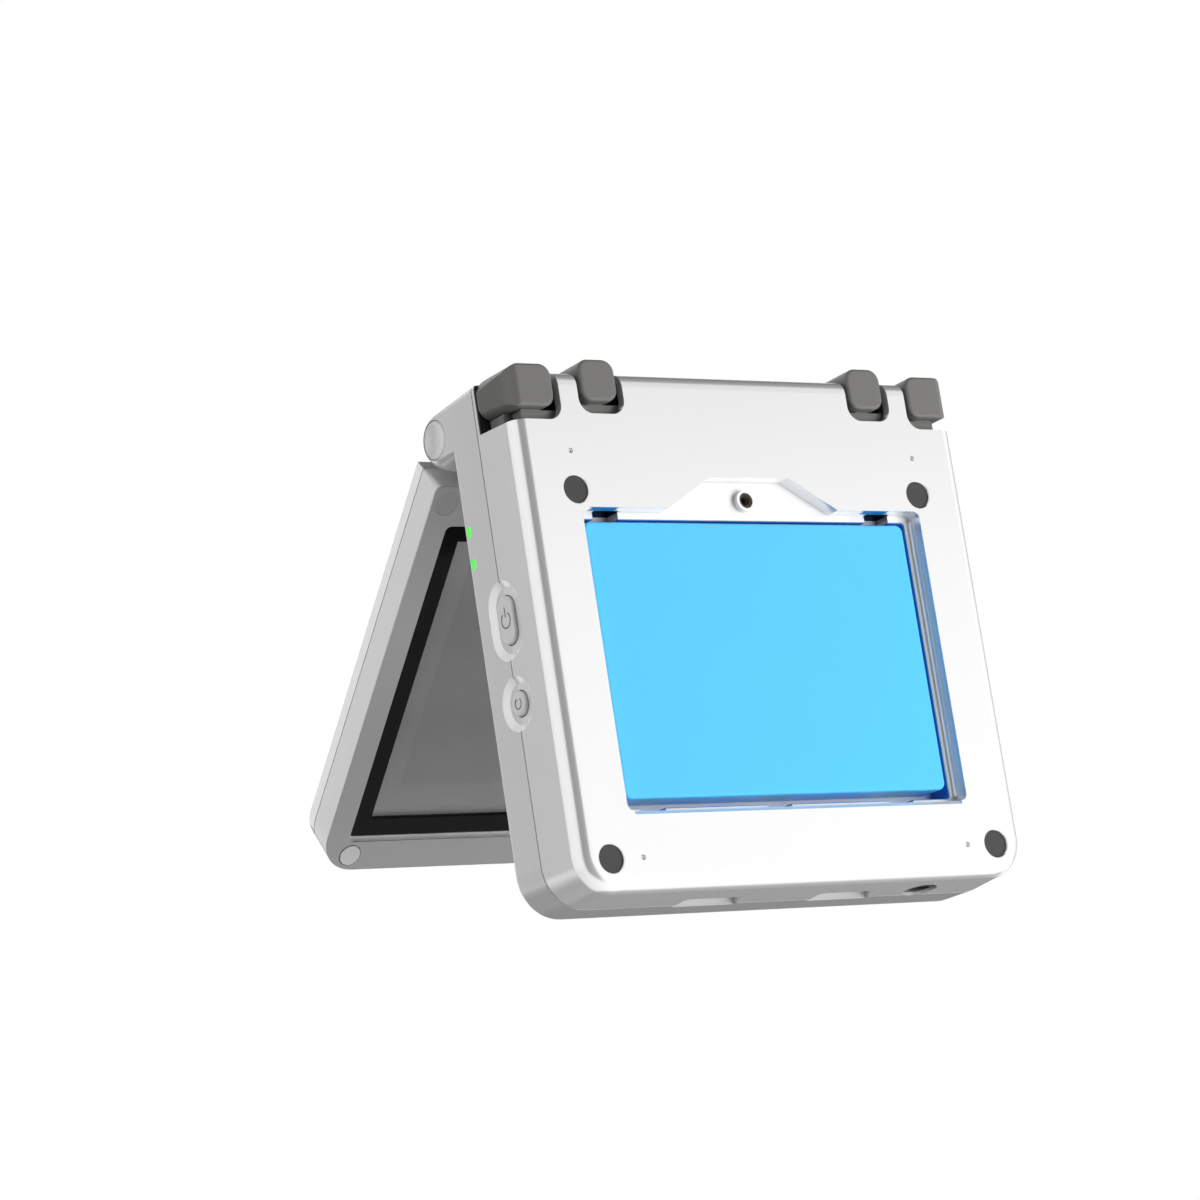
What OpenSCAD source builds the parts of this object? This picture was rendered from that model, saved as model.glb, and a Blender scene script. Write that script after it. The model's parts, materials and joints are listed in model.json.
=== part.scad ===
// Clamshell handheld game console: base with controls, folding screen lid, open battery bay.
// Millimetres. +X is the player's right, +Y runs from the front edge to the hinge, +Z is up.
// The origin is on the table, under the middle of the console.

/* [Base] */
// Width of the base and of the lid
body_w = 89; // [86:0.5:96]
// Depth of the base, from its front face to its hinge wall
body_d = 85; // [84:0.5:90]
// Height of the bottom shell, up to the parting line
bottom_h = 10; // [9.9:0.1:11]
// Height of the deck shell above the parting line
deck_h = 7.6; // [7.5:0.1:9]
// Wall of the moulded shells
wall = 1.6; // [1.3:0.1:1.8]
// Radius of the two front corners, seen from above
corner_r = 7; // [5:0.5:8]
// Radius of the two hinge-side corners, seen from above
back_corner_r = 1; // [1:0.1:2]
// Radius of the long edge round the underside
edge_r = 2.6; // [1.6:0.1:2.8]
// Lean of the bottom shell's walls, from the parting line to the table plane
draft = 0.95; // [0.2:0.05:1.1]
// Radius of the edge round the deck
deck_edge_r = 0.6; // [0.4:0.1:1]
// Width and depth of the shadow line between two shells
parting_line = 0.25; // [0.1:0.05:0.4]

/* [Battery bay] */
// Distance from the side faces to the bay's mouth
bay_side = 11; // [10.5:0.1:12]
// Distance from the hinge wall to the bay's mouth
bay_rear = 22.6; // [22:0.1:24]
// Distance from the front face to the bay's mouth
bay_front = 13.4; // [13:0.1:14.5]
// Corner radius of the bay's mouth
bay_corner_r = 1.2; // [1:0.1:2.5]
// Depth of the ledge that the cover rests on
ledge_depth = 3; // [2.4:0.1:3.4]
// Width of that ledge
ledge_w = 1.1; // [0.8:0.1:1.5]
// Depth of the battery's face under the table plane
battery_depth = 2; // [1.6:0.1:2.2]
// Thickness of the battery
battery_t = 5.4; // [5:0.1:5.6]
// Air beside the battery in its pocket
battery_side_gap = 0.75; // [0.7:0.05:1.2]
// Air in front of the battery
battery_front_gap = 1.5; // [0.5:0.05:1.6]
// Air behind the battery, at the hinge side
battery_rear_gap = 0.7; // [0.4:0.05:1]
// Distance of the battery from its pocket's middle, towards the right side
battery_shift = 0.5; // [-0.5:0.05:0.5]
// Thickness of the liner round the battery
liner_t = 0.1; // [0.1:0.05:0.15]
// Half width of the cover tab's recess at its narrow end
tab_top = 7.9; // [6:0.1:9]
// Half width of the cover tab's recess at the bay
tab_base = 16.8; // [15:0.1:18]
// Reach of the cover tab's recess beyond the bay
tab_reach = 5.3; // [5:0.1:6]
// Outside radius of the cover screw's boss
boss_r = 1.75; // [1.7:0.05:2]
// Thread radius of the cover screw's insert
cover_thread_r = 0.8; // [0.7:0.05:0.9]
// Width of the cover's hook slots
hook_w = 4.9; // [4:0.1:6]

/* [Hinge] */
// Radius of the hinge barrel
barrel_r = 5.1; // [4.8:0.1:5.3]
// Height of the hinge axis above the deck
hinge_rise = 4.8; // [4.7:0.1:5.2]
// Width of each knuckle on the base
knuckle_w = 12.2; // [11:0.1:14]
// Radius of the flat end disc in each knuckle
cap_r = 3.4; // [2.8:0.1:3.5]
// Radius of the hinge pins
pin_r = 1.6; // [1.2:0.1:1.8]
// Side gap between a knuckle and the lid's barrel
hinge_gap = 0.4; // [0.3:0.05:0.6]
// Angle of the lid from closed
open_angle = 46; // [0:1:155]

/* [Lid] */
// Thickness of the lid's screen frame
frame_t = 6.1; // [6:0.1:7]
// Thickness of the lid's outer cover
cover_t = 3; // [2.8:0.1:3.6]
// Gap between the closed lid and the deck
lid_gap = 0.3; // [0.25:0.05:0.5]
// Distance from the hinge axis to the lid's panel
lid_to_axis = 5.95; // [5.9:0.05:6.6]
// Reach of the closed lid beyond the base's front face
lid_overhang = 0.1; // [0:0.05:0.2]
// Radius of the corners at the lid's free edge
lid_corner_r = 6.5; // [5:0.5:8]
// Radius of the lid's hinge-side corners
lid_back_r = 1.2; // [1.2:0.1:3]
// Radius of the edge round the lid's outer face
lid_edge_r = 1.2; // [0.5:0.1:1.2]
// Lean of the lid's walls, from its inner face to its outer face
lid_draft = 0.9; // [0.2:0.05:1]
// Width of the frame beside the screen glass
glass_side = 4.35; // [4:0.05:6]
// Distance from the lid's free edge to the glass
glass_front = 6.4; // [6:0.1:7]
// Distance from the glass to the lid's hinge-side end
glass_rear = 7.5; // [7:0.1:9]
// Ledge in front of the glass, at the lid's free edge
glass_ledge = 0.6; // [0.3:0.05:0.8]
// Depth of the glass under the lid's inner face
glass_depth = 0.8; // [0.7:0.05:1]
// Thickness of the glass
glass_t = 0.8; // [0.6:0.05:1]
// Margin between the glass's edge and the screen module
screen_margin = 1.7; // [1.2:0.1:3]
// Thickness of the screen module
screen_t = 2.8; // [2:0.1:3]

/* [Controls] */
// Distance of the direction pad and the action buttons from the side faces
control_side = 17; // [16:0.1:18]
// Distance of the direction pad and the action buttons from the front face
control_y = 47; // [44:0.5:50]
// Half length of the direction pad's arms
pad_reach = 9.4; // [8.5:0.1:9.8]
// Width of the direction pad's arms
pad_w = 6.6; // [6:0.1:7]
// Height of the direction pad's top above the deck
pad_rise = 0.25; // [0.1:0.05:0.25]
// Radius of the action buttons
action_r = 3.9; // [3.4:0.1:4.1]
// Distance of each action button from the middle of the four
action_spread = 7.2; // [6.8:0.1:7.4]
// Height of the action buttons' tops above the deck
action_rise = 0.65; // [0.3:0.05:0.7]
// Travel of the buttons on the deck
button_travel = 0.9; // [0.5:0.1:0.9]
// Clearance round every button
button_gap = 0.2; // [0.15:0.05:0.25]
// Depth of the wells round the controls
well_depth = 0.7; // [0.4:0.1:0.8]

/* [Side buttons] */
// Distance of the power button from the front face
power_y = 46.5; // [44:0.1:48]
// Distance of the reset button from the front face
reset_y = 33.05; // [32:0.05:34]
// Height of the power and reset buttons' centres
side_button_z = 9.6; // [9.4:0.1:9.8]
// Radius of the dish round a side button
dish_r = 4.4; // [4:0.05:4.5]
// Depth of that dish
dish_depth = 0.7; // [0.5:0.1:1]
// Radius of the power button's ends
power_r = 2.05; // [1.9:0.05:2.2]
// Radius of the reset button
reset_r = 1.9; // [1.8:0.05:2.2]
// Half distance between the power button's two end centres
power_half = 1.85; // [1.5:0.05:2.2]
// Travel of the side buttons
side_travel = 0.5; // [0.3:0.05:0.5]

/* [Shoulder buttons] */
// Width of the outer notch, from the side face
outer_notch_w = 10; // [9.5:0.1:10.5]
// Width of the strip between the two notches of a side
notch_strip = 3.5; // [3.2:0.1:4]
// Width of the inner notch
inner_notch_w = 8.7; // [8:0.1:9.2]
// Reach of the outer notch from the hinge wall
outer_notch_l = 8.3; // [8:0.1:8.8]
// Reach of the inner notch from the hinge wall
inner_notch_l = 7.15; // [7:0.05:7.8]
// Thickness of the shell left above the notches
notch_roof = 0.8; // [0.7:0.05:1]
// Gap between a shoulder button and the sides of its notch
shoulder_gap = 0.9; // [0.6:0.1:1]
// Room in front of a shoulder button
shoulder_room = 2.15; // [1.8:0.05:2.4]
// How far the outer shoulder buttons stand out of the hinge wall
outer_proud = 1; // [0.5:0.05:1.1]
// How far the inner shoulder buttons stand out of the hinge wall
inner_proud = 2; // [1.2:0.05:2.1]
// Travel of the shoulder buttons
shoulder_travel = 1.2; // [0.8:0.1:1.3]

/* [Connectors] */
// Middle of the right card slot
card_right_x = 14.4; // [14:0.1:15]
// Middle of the left card slot
card_left_x = -12; // [-13:0.1:-11.5]
// Width of a card slot
card_w = 11.4; // [11.2:0.1:12]
// Height of the card slots
card_z = 7.4; // [7.2:0.1:7.6]
// Middle of the headphone jack
jack_side = 18; // [17.5:0.1:18.5]
// Height of the headphone jack
jack_z = 7.5; // [7.4:0.1:7.6]
// Bore radius of the headphone jack
jack_r = 1.8; // [1.75:0.05:1.9]
// Middle of the charging port
charge_x = -9; // [-10:0.5:-8]
// Middle of the video port
video_x = 9; // [8:0.5:10]

/* [Fasteners] */
// Distance of the rear case screws from the side faces
rear_screw_side = 10.5; // [9.5:0.1:10.5]
// Distance of the rear case screws from the hinge wall
rear_screw_rear = 19.7; // [19:0.1:19.8]
// Distance of the front case screws from the side faces
front_screw_side = 6.6; // [6.3:0.1:7.5]
// Distance of the front case screws from the front face
front_screw_y = 6; // [5.8:0.1:6.6]
// Radius of the plugs over the case screws
plug_r = 2.2; // [2:0.05:2.3]
// Depth of the plugs under the underside
plug_depth = 0.4; // [0.2:0.05:0.5]
// Radius of the case screws' shanks
screw_r = 0.85; // [0.7:0.05:0.9]

/* [Hidden] */

smooth = 96;            // segments of large rounds
fine = 48;              // segments of small rounds
slack = 1;              // how far a cut runs past the face it opens
part_gap = 0.1;         // clearance between two parts of one body
switch_gap = 0.2;       // clearance left at a switch when its button is pressed home

front_y = -(body_d + inner_proud) / 2;
side_x = body_w / 2;
control_x = side_x - control_side;
outer_notch_x = side_x - outer_notch_w;
inner_notch_x = outer_notch_x - notch_strip - inner_notch_w;
deck_z = bottom_h + deck_h;
deck_under = deck_z - wall;
axis_y = body_d - barrel_r;
axis_z = deck_z + hinge_rise;

inner_edge_r = edge_r - 0.3;
bay_floor = 1;
bay_wall = 1.2;
pocket_depth = battery_depth + battery_t + part_gap;
bay_w = body_w - 2 * bay_side;
bay_l = body_d - bay_front - bay_rear;
bay_back = bay_front + bay_l;
bay_mid = bay_front + bay_l / 2;
front_ledge_w = 0.8;
pocket_w = bay_w - 2 * ledge_w;
pocket_l = bay_l - ledge_w - front_ledge_w;
pocket_y = bay_front + front_ledge_w;
cove_r = 1;
bay_chamfer = 0.6;
hook_side = 6.2;
hook_left_side = 6.8;
hook_x = bay_w / 2 - hook_side;
hook_left_x = hook_left_side - bay_w / 2;
hook_depth = 2;
hook_top = 2.2;
hook_bottom = 6;
catch_middle = 2.2;
catch_pitch = 24.5;
catch_x = [catch_middle + catch_pitch, catch_middle, catch_middle - catch_pitch];
latch_liner_t = 0.15;
catch_l = 0.55;
boss_y = bay_back + 2;
boss_top = 1.9;
insert_l = 4.35;
insert_r = boss_r - 0.45;
insert_top = 2.15;

board_t = 1;
board_z = pocket_depth + bay_floor + part_gap;
board_top = board_z + board_t;
board_inset = 1;
board_rear = 12;
board_back = body_d - board_rear;
board_notch = 5.6;

shield_w = 22;
shield_l = 18;
shield_h = 2;
shield_t = 0.3;
shield_y = 38;

cover_hole_r = 1.1;
head_r = 1.9;
head_h = 1.6;
plug_t = 1.5;
plug_gap = 0.08;
screw_boss_r = 3.3;
deck_boss_r = 2.4;
screw_l = 11;
screw_tip = plug_depth + plug_t + part_gap + screw_l;
plug_chamfer = 0.15;
dimple_r = 0.45;
rear_screw_x = side_x - rear_screw_side;
rear_screw_y = body_d - rear_screw_rear;
front_screw_x = side_x - front_screw_side;
screw_places = [
    [rear_screw_x, rear_screw_y], [-rear_screw_x, rear_screw_y],
    [front_screw_x, front_screw_y], [-front_screw_x, front_screw_y]
];
dimple_rear = 13.4;
dimple_side = 12.5;
dimple_places = [
    [rear_screw_x, body_d - dimple_rear], [-rear_screw_x, body_d - dimple_rear],
    [side_x - dimple_side, front_screw_y], [dimple_side - side_x, front_screw_y]
];

knuckle_front = axis_y - 3.4;
knuckle_in = side_x - knuckle_w;
dome_start = sqrt(barrel_r * barrel_r - cap_r * cap_r);
cap_t = 0.9;
cap_ring = 0.12;
cap_edge_r = 0.15;
cap_dish = 0.4;
cap_dish_r = 10;
trough_gap = 0.4;
pin_fit = 0.04;         // running clearance between a hinge pin and the lid
pin_l = 20;
sleeve_r = 3.6;
sleeve_l = 9;

lid_under = deck_z + lid_gap;
lid_joint = lid_under + frame_t;
lid_step = parting_line + lid_draft * frame_t / (frame_t + cover_t);
lid_top = lid_joint + cover_t;
lid_front = -lid_overhang;
lid_end = axis_y - lid_to_axis;
lid_l = lid_end - lid_front;
face_plate = 1.6;
glass_gap = 0.15;
glass_z = lid_under + glass_depth;
glass_y = lid_front + glass_front;
glass_w = body_w - 2 * glass_side;
glass_l = lid_l - glass_front - glass_rear;
screen_w = glass_w - 2 * screen_margin;
screen_l = glass_l - 2 * screen_margin;
screen_board_side = 8;
screen_board_end = 6;
screen_board_t = 0.8;
glass_corner_r = 1.1;
lip_w = 0.6;
frame_edge_r = 0.15;
lip_t = 0.8;
screen_z = glass_z + glass_t;
screen_y = glass_y + screen_margin;
neck_low = 1;
neck_high = 0.8;
lid_pad_r = 1.9;
lid_pad_side = 5.3;
lid_pad_front = 3;
lid_pad_proud = 0.1;
lid_pad_t = 1;
lid_cover_screw_r = 2.1;
lid_disc_gap = 0.04;
lid_disc_depth = 0.03;
lid_cover_screw_side = 2.9;
lid_cover_screw_end = 3.2;
lid_boss_r = 1.9;
lid_screw_head_r = 1.5;
lid_screw_head = 1;
lid_screw_l = 4;

flange_gap = 0.1;
action_flange = 0.8;
action_flange_t = 1.2;
action_low = 13;
pad_tilt_gap = 0.45;
pad_dish_r = 10.6;
pad_dish = 0.4;
pad_hole_r = 0.8;
pad_low = deck_under - 2;
pad_flange_r = 10.4;
pad_flange_t = 1;
pad_flange_top = deck_under - 1.1;
pivot_z = 13.2;
pivot_r = 1.2;
pivot_gap = 0.05;
well_r = 12.2;
well_edge = 0.5;
menu_y = 18;
menu_spread = 10;
menu_half = 2.2;
menu_r = 1.5;
menu_rise = 0.4;
membrane_t = 0.6;
membrane_w = 20;
membrane_corner_r = 3;
menu_membrane_l = 6;
menu_membrane_end = 4;
pad_dome_place = 6.8;
pad_dome_gap = 1.1;
dome_r = 2;

side_wall_in = side_x - wall;
side_flange = 0.8;
side_flange_t = 0.9;
side_proud = 0.06;      // depth of a side button's face under the side wall
side_round = 0.4;       // rounded edge of a side button
volume_y = 46.2;
volume_pitch = 10;
volume_half = 1.6;
volume_r = 1.6;
volume_dish_half = 7.4;
dish_slope = 1.2;
dish_longer = 0.3;
switch_w = 3.6;
switch_h = 3.4;
switch_l = 3.4;

light_y = [62.75, 57.5];
light_w = 1.55;
light_h = 1.2;
light_z = 16.3;
light_tail = 0.6;
light_recess = 0.05;

shoulder_floor = 0.1;
plate_t = 0.25;
plate_gap = 0.2;
shoulder_top_gap = 0.3;
notch_h = bottom_h - notch_roof;
shoulder_h = notch_h - plate_t - shoulder_top_gap;
shoulder_corner_r = 2.1;
shoulder_edge_r = 0.55;
shoulder_top_r = 0.3;
shoulder_side_r = 3.6;
outer_slab_w = 20;
flange_room = 0.3;
flange_z = wall + flange_room;
flange_h = shoulder_h - flange_z - shoulder_top_r;
flange_side = 0.4;
shoulder_flange_l = 1.25;
outer_flange_w = 7;
outer_neck_w = 3.4;

card_h = 1.3;
card_scoop_w = 12.1;
card_scoop_depth = 1;
card_socket_l = 10.3;
card_socket_w = 13.4;
jack_collar_r = 2.8;
jack_l = 10.3;
jack_x = jack_side - side_x;
jack_w = 6.4;
port_l = 7.4;
port_r = 1.6;
charge_half = 2.9;
video_w = 11.2;
video_h = 3.1;
port_z = board_z - 1.75;
port_cut = 0.2;

speaker_x = control_x;
speaker_y = 17;
speaker_w = 16;
speaker_l = 11.6;
speaker_h = 3.2;
speaker_gap = 0.3;
speaker_corner_r = 2;
grille_slots = 5;
grille_pitch = 2.1;
grille_l = 9;
grille_w = 0.9;

// ---- shared shapes ----

// Everything is drawn from the front face; this sets it about the origin.
module placed() {
    translate([0, front_y, 0]) children();
}

// Turns a lid piece from closed to its resting angle about the hinge axis.
module opened() {
    placed() translate([0, axis_y, axis_z]) rotate([-open_angle, 0, 0]) translate([0, -axis_y, -axis_z]) children();
}

module both_sides() {
    for (side = [0, 1]) mirror([side, 0, 0]) children();
}

// Half section of a slab whose side leans in towards its rounded lower edge.
module leaning_profile(reach, h, low, lean) {
    a = atan(lean / h);
    inset = round(1000 * (lean * (1 - low / h) + low / cos(a))) / 1000;
    far = 3 * low;
    difference() {
        polygon([[0, 0], [reach - lean, 0], [reach, h], [0, h]]);
        translate([reach - inset, low]) difference() {
            intersection() {
                translate([0, -far]) square(far);
                rotate([0, 0, -a]) translate([-far, -2 * far]) square(2 * far);
            }
            circle(r = low, $fn = fine);
        }
    }
}

// Half section of a slab with rounded lower and upper edges.
module edge_profile(reach, h, low, high) {
    difference() {
        square([reach, h]);
        if (low > 0) translate([reach - low, 0]) difference() {
            translate([0, -slack]) square([low + slack, low + slack]);
            translate([0, low]) circle(r = low, $fn = fine);
        }
        if (high > 0) translate([reach - high, h - high]) difference() {
            square([high + slack, high + slack]);
            circle(r = high, $fn = fine);
        }
    }
}

// Slab with its own front and back corner radii and rounded lower and upper edges.
module rounded_slab(w, d, h, front_r, back_r, low = 0, high = 0) {
    both_sides() {
        translate([w / 2 - front_r, front_r, 0]) rotate([0, 0, -90])
            rotate_extrude(angle = 90, $fn = smooth) edge_profile(front_r, h, low, high);
        translate([w / 2 - back_r, d - back_r, 0])
            rotate_extrude(angle = 90, $fn = smooth) edge_profile(back_r, h, low, high);
        translate([0, d - back_r, 0]) rotate([90, 0, 0])
            linear_extrude(d - front_r - back_r) edge_profile(w / 2, h, low, high);
    }
    translate([front_r - w / 2, front_r, 0]) rotate([90, 0, 90])
        linear_extrude(w - 2 * front_r) mirror([1, 0, 0]) edge_profile(front_r, h, low, high);
    translate([back_r - w / 2, d - back_r, 0]) rotate([90, 0, 90])
        linear_extrude(w - 2 * back_r) edge_profile(back_r, h, low, high);
}

module rounded_rect(w, l, r) {
    square([w - 2 * r, l], center = true);
    square([w, l - 2 * r], center = true);
    for (x = [-1, 1]) for (y = [-1, 1]) translate([x * (w / 2 - r), y * (l / 2 - r)]) circle(r = r, $fn = fine);
}

module stadium(half, r) {
    square([2 * half, 2 * r], center = true);
    for (end = [-1, 1]) translate([end * half, 0]) circle(r = r, $fn = fine);
}

// Tapered stadium: the mouth of a dish, narrowing with depth.
module dish_cut(half, r, depth) {
    inner_r = r - dish_slope;
    for (end = [-1, 1]) translate([end * half, 0, -depth]) cylinder(r1 = inner_r, r2 = r, h = depth, $fn = fine);
    rotate([90, 0, 90]) translate([0, 0, -half])
        linear_extrude(2 * half) polygon([[-inner_r, -depth], [inner_r, -depth], [r, 0], [-r, 0]]);
    linear_extrude(slack) stadium(half, r);
}

// Turns a shape drawn upwards so that it faces out of the right side wall.
module on_right_side(y, z) {
    translate([side_x, y, z]) rotate([90, 0, 90]) children();
}

module on_left_side(y, z) {
    mirror([1, 0, 0]) on_right_side(y, z) children();
}

// Pin with a rounded top edge, standing on the plane z = 0.
module rounded_pin(r, h, round_r) {
    rotate_extrude($fn = smooth) edge_profile(r, h, 0, round_r);
}

// ---- base shells ----

module side_openings() {
    on_right_side(power_y, side_button_z) {
        dish_cut(power_half + dish_longer, dish_r, dish_depth);
        translate([0, 0, -wall - slack]) linear_extrude(wall + slack) stadium(power_half, power_r + button_gap);
    }
    on_right_side(reset_y, side_button_z) {
        dish_cut(part_gap, dish_r, dish_depth);
        translate([0, 0, -wall - slack]) linear_extrude(wall + slack) stadium(part_gap, reset_r + button_gap);
    }
    on_left_side(volume_y, side_button_z) {
        dish_cut(volume_dish_half, dish_r, dish_depth);
        for (end = [-1, 1]) translate([end * volume_pitch / 2, 0, -wall - slack])
            linear_extrude(wall + slack) stadium(volume_half, volume_r + button_gap);
    }
    for (y = light_y) on_right_side(y, light_z)
        translate([0, 0, -wall - slack]) linear_extrude(wall + 2 * slack) square([light_w, light_h], center = true);
}

module front_openings() {
    for (x = [card_right_x, card_left_x]) translate([x, 0, card_z]) {
        translate([-card_w / 2, -slack, -card_h / 2]) cube([card_w, wall + 2 * slack, card_h]);
        translate([-card_scoop_w / 2, -slack, 0]) cube([card_scoop_w, card_scoop_depth + slack, bottom_h - card_z + slack]);
    }
    translate([jack_x, wall + slack, jack_z]) rotate([90, 0, 0])
        cylinder(r = jack_collar_r + part_gap, h = wall + 2 * slack, $fn = fine);
}

module rear_openings() {
    translate([charge_x, body_d + slack, port_z]) rotate([90, 0, 0])
        linear_extrude(wall + 2 * slack) stadium(charge_half, port_r + port_cut);
    translate([video_x, body_d - wall / 2, port_z])
        cube([video_w + 2 * port_cut, wall + 2 * slack, video_h + 2 * port_cut], center = true);
}

module notch_plan(width, reach, r) {
    translate([r, body_d - reach]) square([width - 2 * r, reach + 2 * slack]);
    translate([0, body_d - reach + r]) square([width, reach + 2 * slack]);
    for (x = [r, width - r]) translate([x, body_d - reach + r]) circle(r = r, $fn = fine);
}

module shoulder_notches() {
    both_sides() translate([0, 0, -slack]) linear_extrude(notch_h + slack) {
        translate([inner_notch_x, 0]) notch_plan(inner_notch_w, inner_notch_l, shoulder_corner_r + 0.4);
        translate([outer_notch_x, 0]) notch_plan(side_x - outer_notch_x + 6, outer_notch_l, shoulder_corner_r + 0.4);
    }
}

module bay_cuts() {
    translate([0, bay_mid, -slack]) linear_extrude(ledge_depth + slack) rounded_rect(bay_w, bay_l, bay_corner_r);
    translate([0, pocket_y + pocket_l / 2, 0]) linear_extrude(pocket_depth)
        rounded_rect(pocket_w, pocket_l, bay_corner_r - ledge_w / 2);
    translate([0, bay_back, -slack]) linear_extrude(ledge_depth + slack) polygon([
        [-tab_base, -slack], [tab_base, -slack], [tab_base, 0], [tab_top, tab_reach], [-tab_top, tab_reach], [-tab_base, 0]
    ]);
    translate([-bay_w / 2 + bay_corner_r, bay_front, 0]) rotate([90, 0, 90]) linear_extrude(bay_w - 2 * bay_corner_r)
        polygon([[-bay_chamfer, 0], [-bay_chamfer, -slack], [slack, -slack], [slack, bay_chamfer], [0, bay_chamfer]]);
    for (x = [hook_x, hook_left_x]) translate([x - hook_w / 2, bay_back - ledge_w - slack, hook_top])
        cube([hook_w, ledge_w + slack + hook_depth, hook_bottom - hook_top]);
    for (x = catch_x) translate([x - hook_w / 2, bay_front - catch_l, bay_chamfer])
        cube([hook_w, catch_l + ledge_w + slack, hook_bottom - bay_chamfer]);
}

// Concave fillets between the bay's walls and its ledge.
module bay_coves() {
    both_sides() translate([bay_w / 2 - cove_r, bay_front + bay_corner_r, ledge_depth - cove_r]) rotate([-90, 0, 0])
        linear_extrude(bay_l - 2 * bay_corner_r) difference() {
            translate([0, -cove_r]) square([cove_r, cove_r]);
            circle(r = cove_r, $fn = fine);
        }
}

module screw_holes() {
    for (p = screw_places) translate([p[0], p[1], -slack]) {
        cylinder(r = plug_r + plug_gap, h = slack + plug_depth + plug_t + part_gap + head_h, $fn = fine);
        cylinder(r = cover_hole_r, h = slack + bottom_h, $fn = fine);
    }
    for (p = screw_places) translate([p[0], p[1], 0])
        cylinder(r1 = plug_r + plug_gap + plug_chamfer, r2 = plug_r + plug_gap, h = plug_chamfer, $fn = fine);
    for (p = dimple_places) translate([p[0], p[1], 0]) sphere(r = dimple_r, $fn = fine);
}

// Slab whose sides and front lean in towards its lower face, open-ended at the back.
module leaning_slab(w, l, h, front_r, low, lean) {
    both_sides() {
        translate([w / 2 - front_r, front_r, 0]) rotate([0, 0, -90])
            rotate_extrude(angle = 90, $fn = smooth) leaning_profile(front_r, h, low, lean);
        translate([0, l, 0]) rotate([90, 0, 0]) linear_extrude(l - front_r) leaning_profile(w / 2, h, low, lean);
    }
    translate([front_r - w / 2, front_r, 0]) rotate([90, 0, 90])
        linear_extrude(w - 2 * front_r) mirror([1, 0, 0]) leaning_profile(front_r, h, low, lean);
}

// Bar with a rounded lower edge along its back.
module back_edge(l, h, r) {
    translate([-side_x - slack, -slack, 0]) rotate([90, 0, 90])
        linear_extrude(body_w + 2 * slack) edge_profile(l + slack, h, r, 0);
}

module bottom_body() {
    intersection() {
        rounded_slab(body_w, body_d, bottom_h - parting_line, corner_r, back_corner_r);
        leaning_slab(body_w, body_d + slack, bottom_h, corner_r, edge_r, draft);
        back_edge(body_d, bottom_h, edge_r);
    }
    translate([0, parting_line, bottom_h - parting_line]) rounded_slab(body_w - 2 * parting_line,
        body_d - 2 * parting_line, parting_line, corner_r - parting_line, back_corner_r - parting_line);
}

module bottom_shell() {
    color("gainsboro") placed() difference() {
        union() {
            difference() {
                bottom_body();
                translate([0, wall, wall]) rounded_slab(body_w - 2 * wall, body_d - 2 * wall, bottom_h,
                    corner_r - wall, inner_edge_r + part_gap, inner_edge_r);
            }
            translate([-bay_w / 2 - bay_wall, bay_front - bay_wall, wall / 2])
                cube([bay_w + 2 * bay_wall, bay_l + 2 * bay_wall, pocket_depth + bay_floor - wall / 2]);
            translate([0, bay_back, wall / 2]) linear_extrude(ledge_depth + bay_wall - wall / 2)
                square([2 * (tab_base + bay_wall), 2 * (tab_reach + bay_wall)], center = true);
            translate([0, boss_y, wall]) cylinder(r = boss_r + bay_wall, h = pocket_depth - wall, $fn = fine);
            for (p = screw_places) translate([p[0], p[1], wall / 2])
                cylinder(r = screw_boss_r, h = board_z - wall / 2, $fn = fine);
        }
        difference() {
            bay_cuts();
            bay_coves();
            translate([0, boss_y, boss_top]) cylinder(r = boss_r, h = ledge_depth, $fn = fine);
        }
        translate([0, boss_y, 0]) cylinder(r = insert_r, h = insert_top + insert_l, $fn = fine);
        screw_holes();
        shoulder_notches();
        side_openings();
        front_openings();
        rear_openings();
    }
}

module pad_cross(reach, width, r) {
    rounded_rect(2 * reach, width, r);
    rounded_rect(width, 2 * reach, r);
}

module deck_openings() {
    translate([-control_x, control_y, deck_under - slack]) linear_extrude(wall + 2 * slack)
        pad_cross(pad_reach + pad_tilt_gap, pad_w + 2 * pad_tilt_gap, pad_hole_r);
    for (turn = [0:90:270]) translate([control_x, control_y, deck_under - slack]) rotate([0, 0, turn])
        translate([action_spread, 0, 0]) cylinder(r = action_r + button_gap, h = wall + 2 * slack, $fn = smooth);
    for (x = [-control_x, control_x]) translate([x, control_y, deck_z - well_depth])
        cylinder(r1 = well_r - well_edge, r2 = well_r, h = well_depth + part_gap / 2, $fn = smooth);
    for (x = [-menu_spread, menu_spread]) translate([x, menu_y, deck_under - slack])
        linear_extrude(wall + 2 * slack) stadium(menu_half, menu_r + button_gap);
    translate([0, menu_y, deck_under - slack]) cylinder(r = menu_r + button_gap, h = wall + 2 * slack, $fn = fine);
    for (i = [0:grille_slots - 1])
        translate([speaker_x, speaker_y + (i - (grille_slots - 1) / 2) * grille_pitch, deck_under - slack])
        linear_extrude(wall + 2 * slack) stadium(grille_l / 2, grille_w / 2);
}

// Domed end of a barrel, along +Z, from its inner end to its flat disc.
module domed_barrel(length, segments) {
    rotate_extrude($fn = segments) {
        square([barrel_r, length - dome_start]);
        intersection() {
            translate([0, length - dome_start]) circle(r = barrel_r, $fn = segments);
            square([barrel_r, length]);
        }
    }
}

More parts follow.
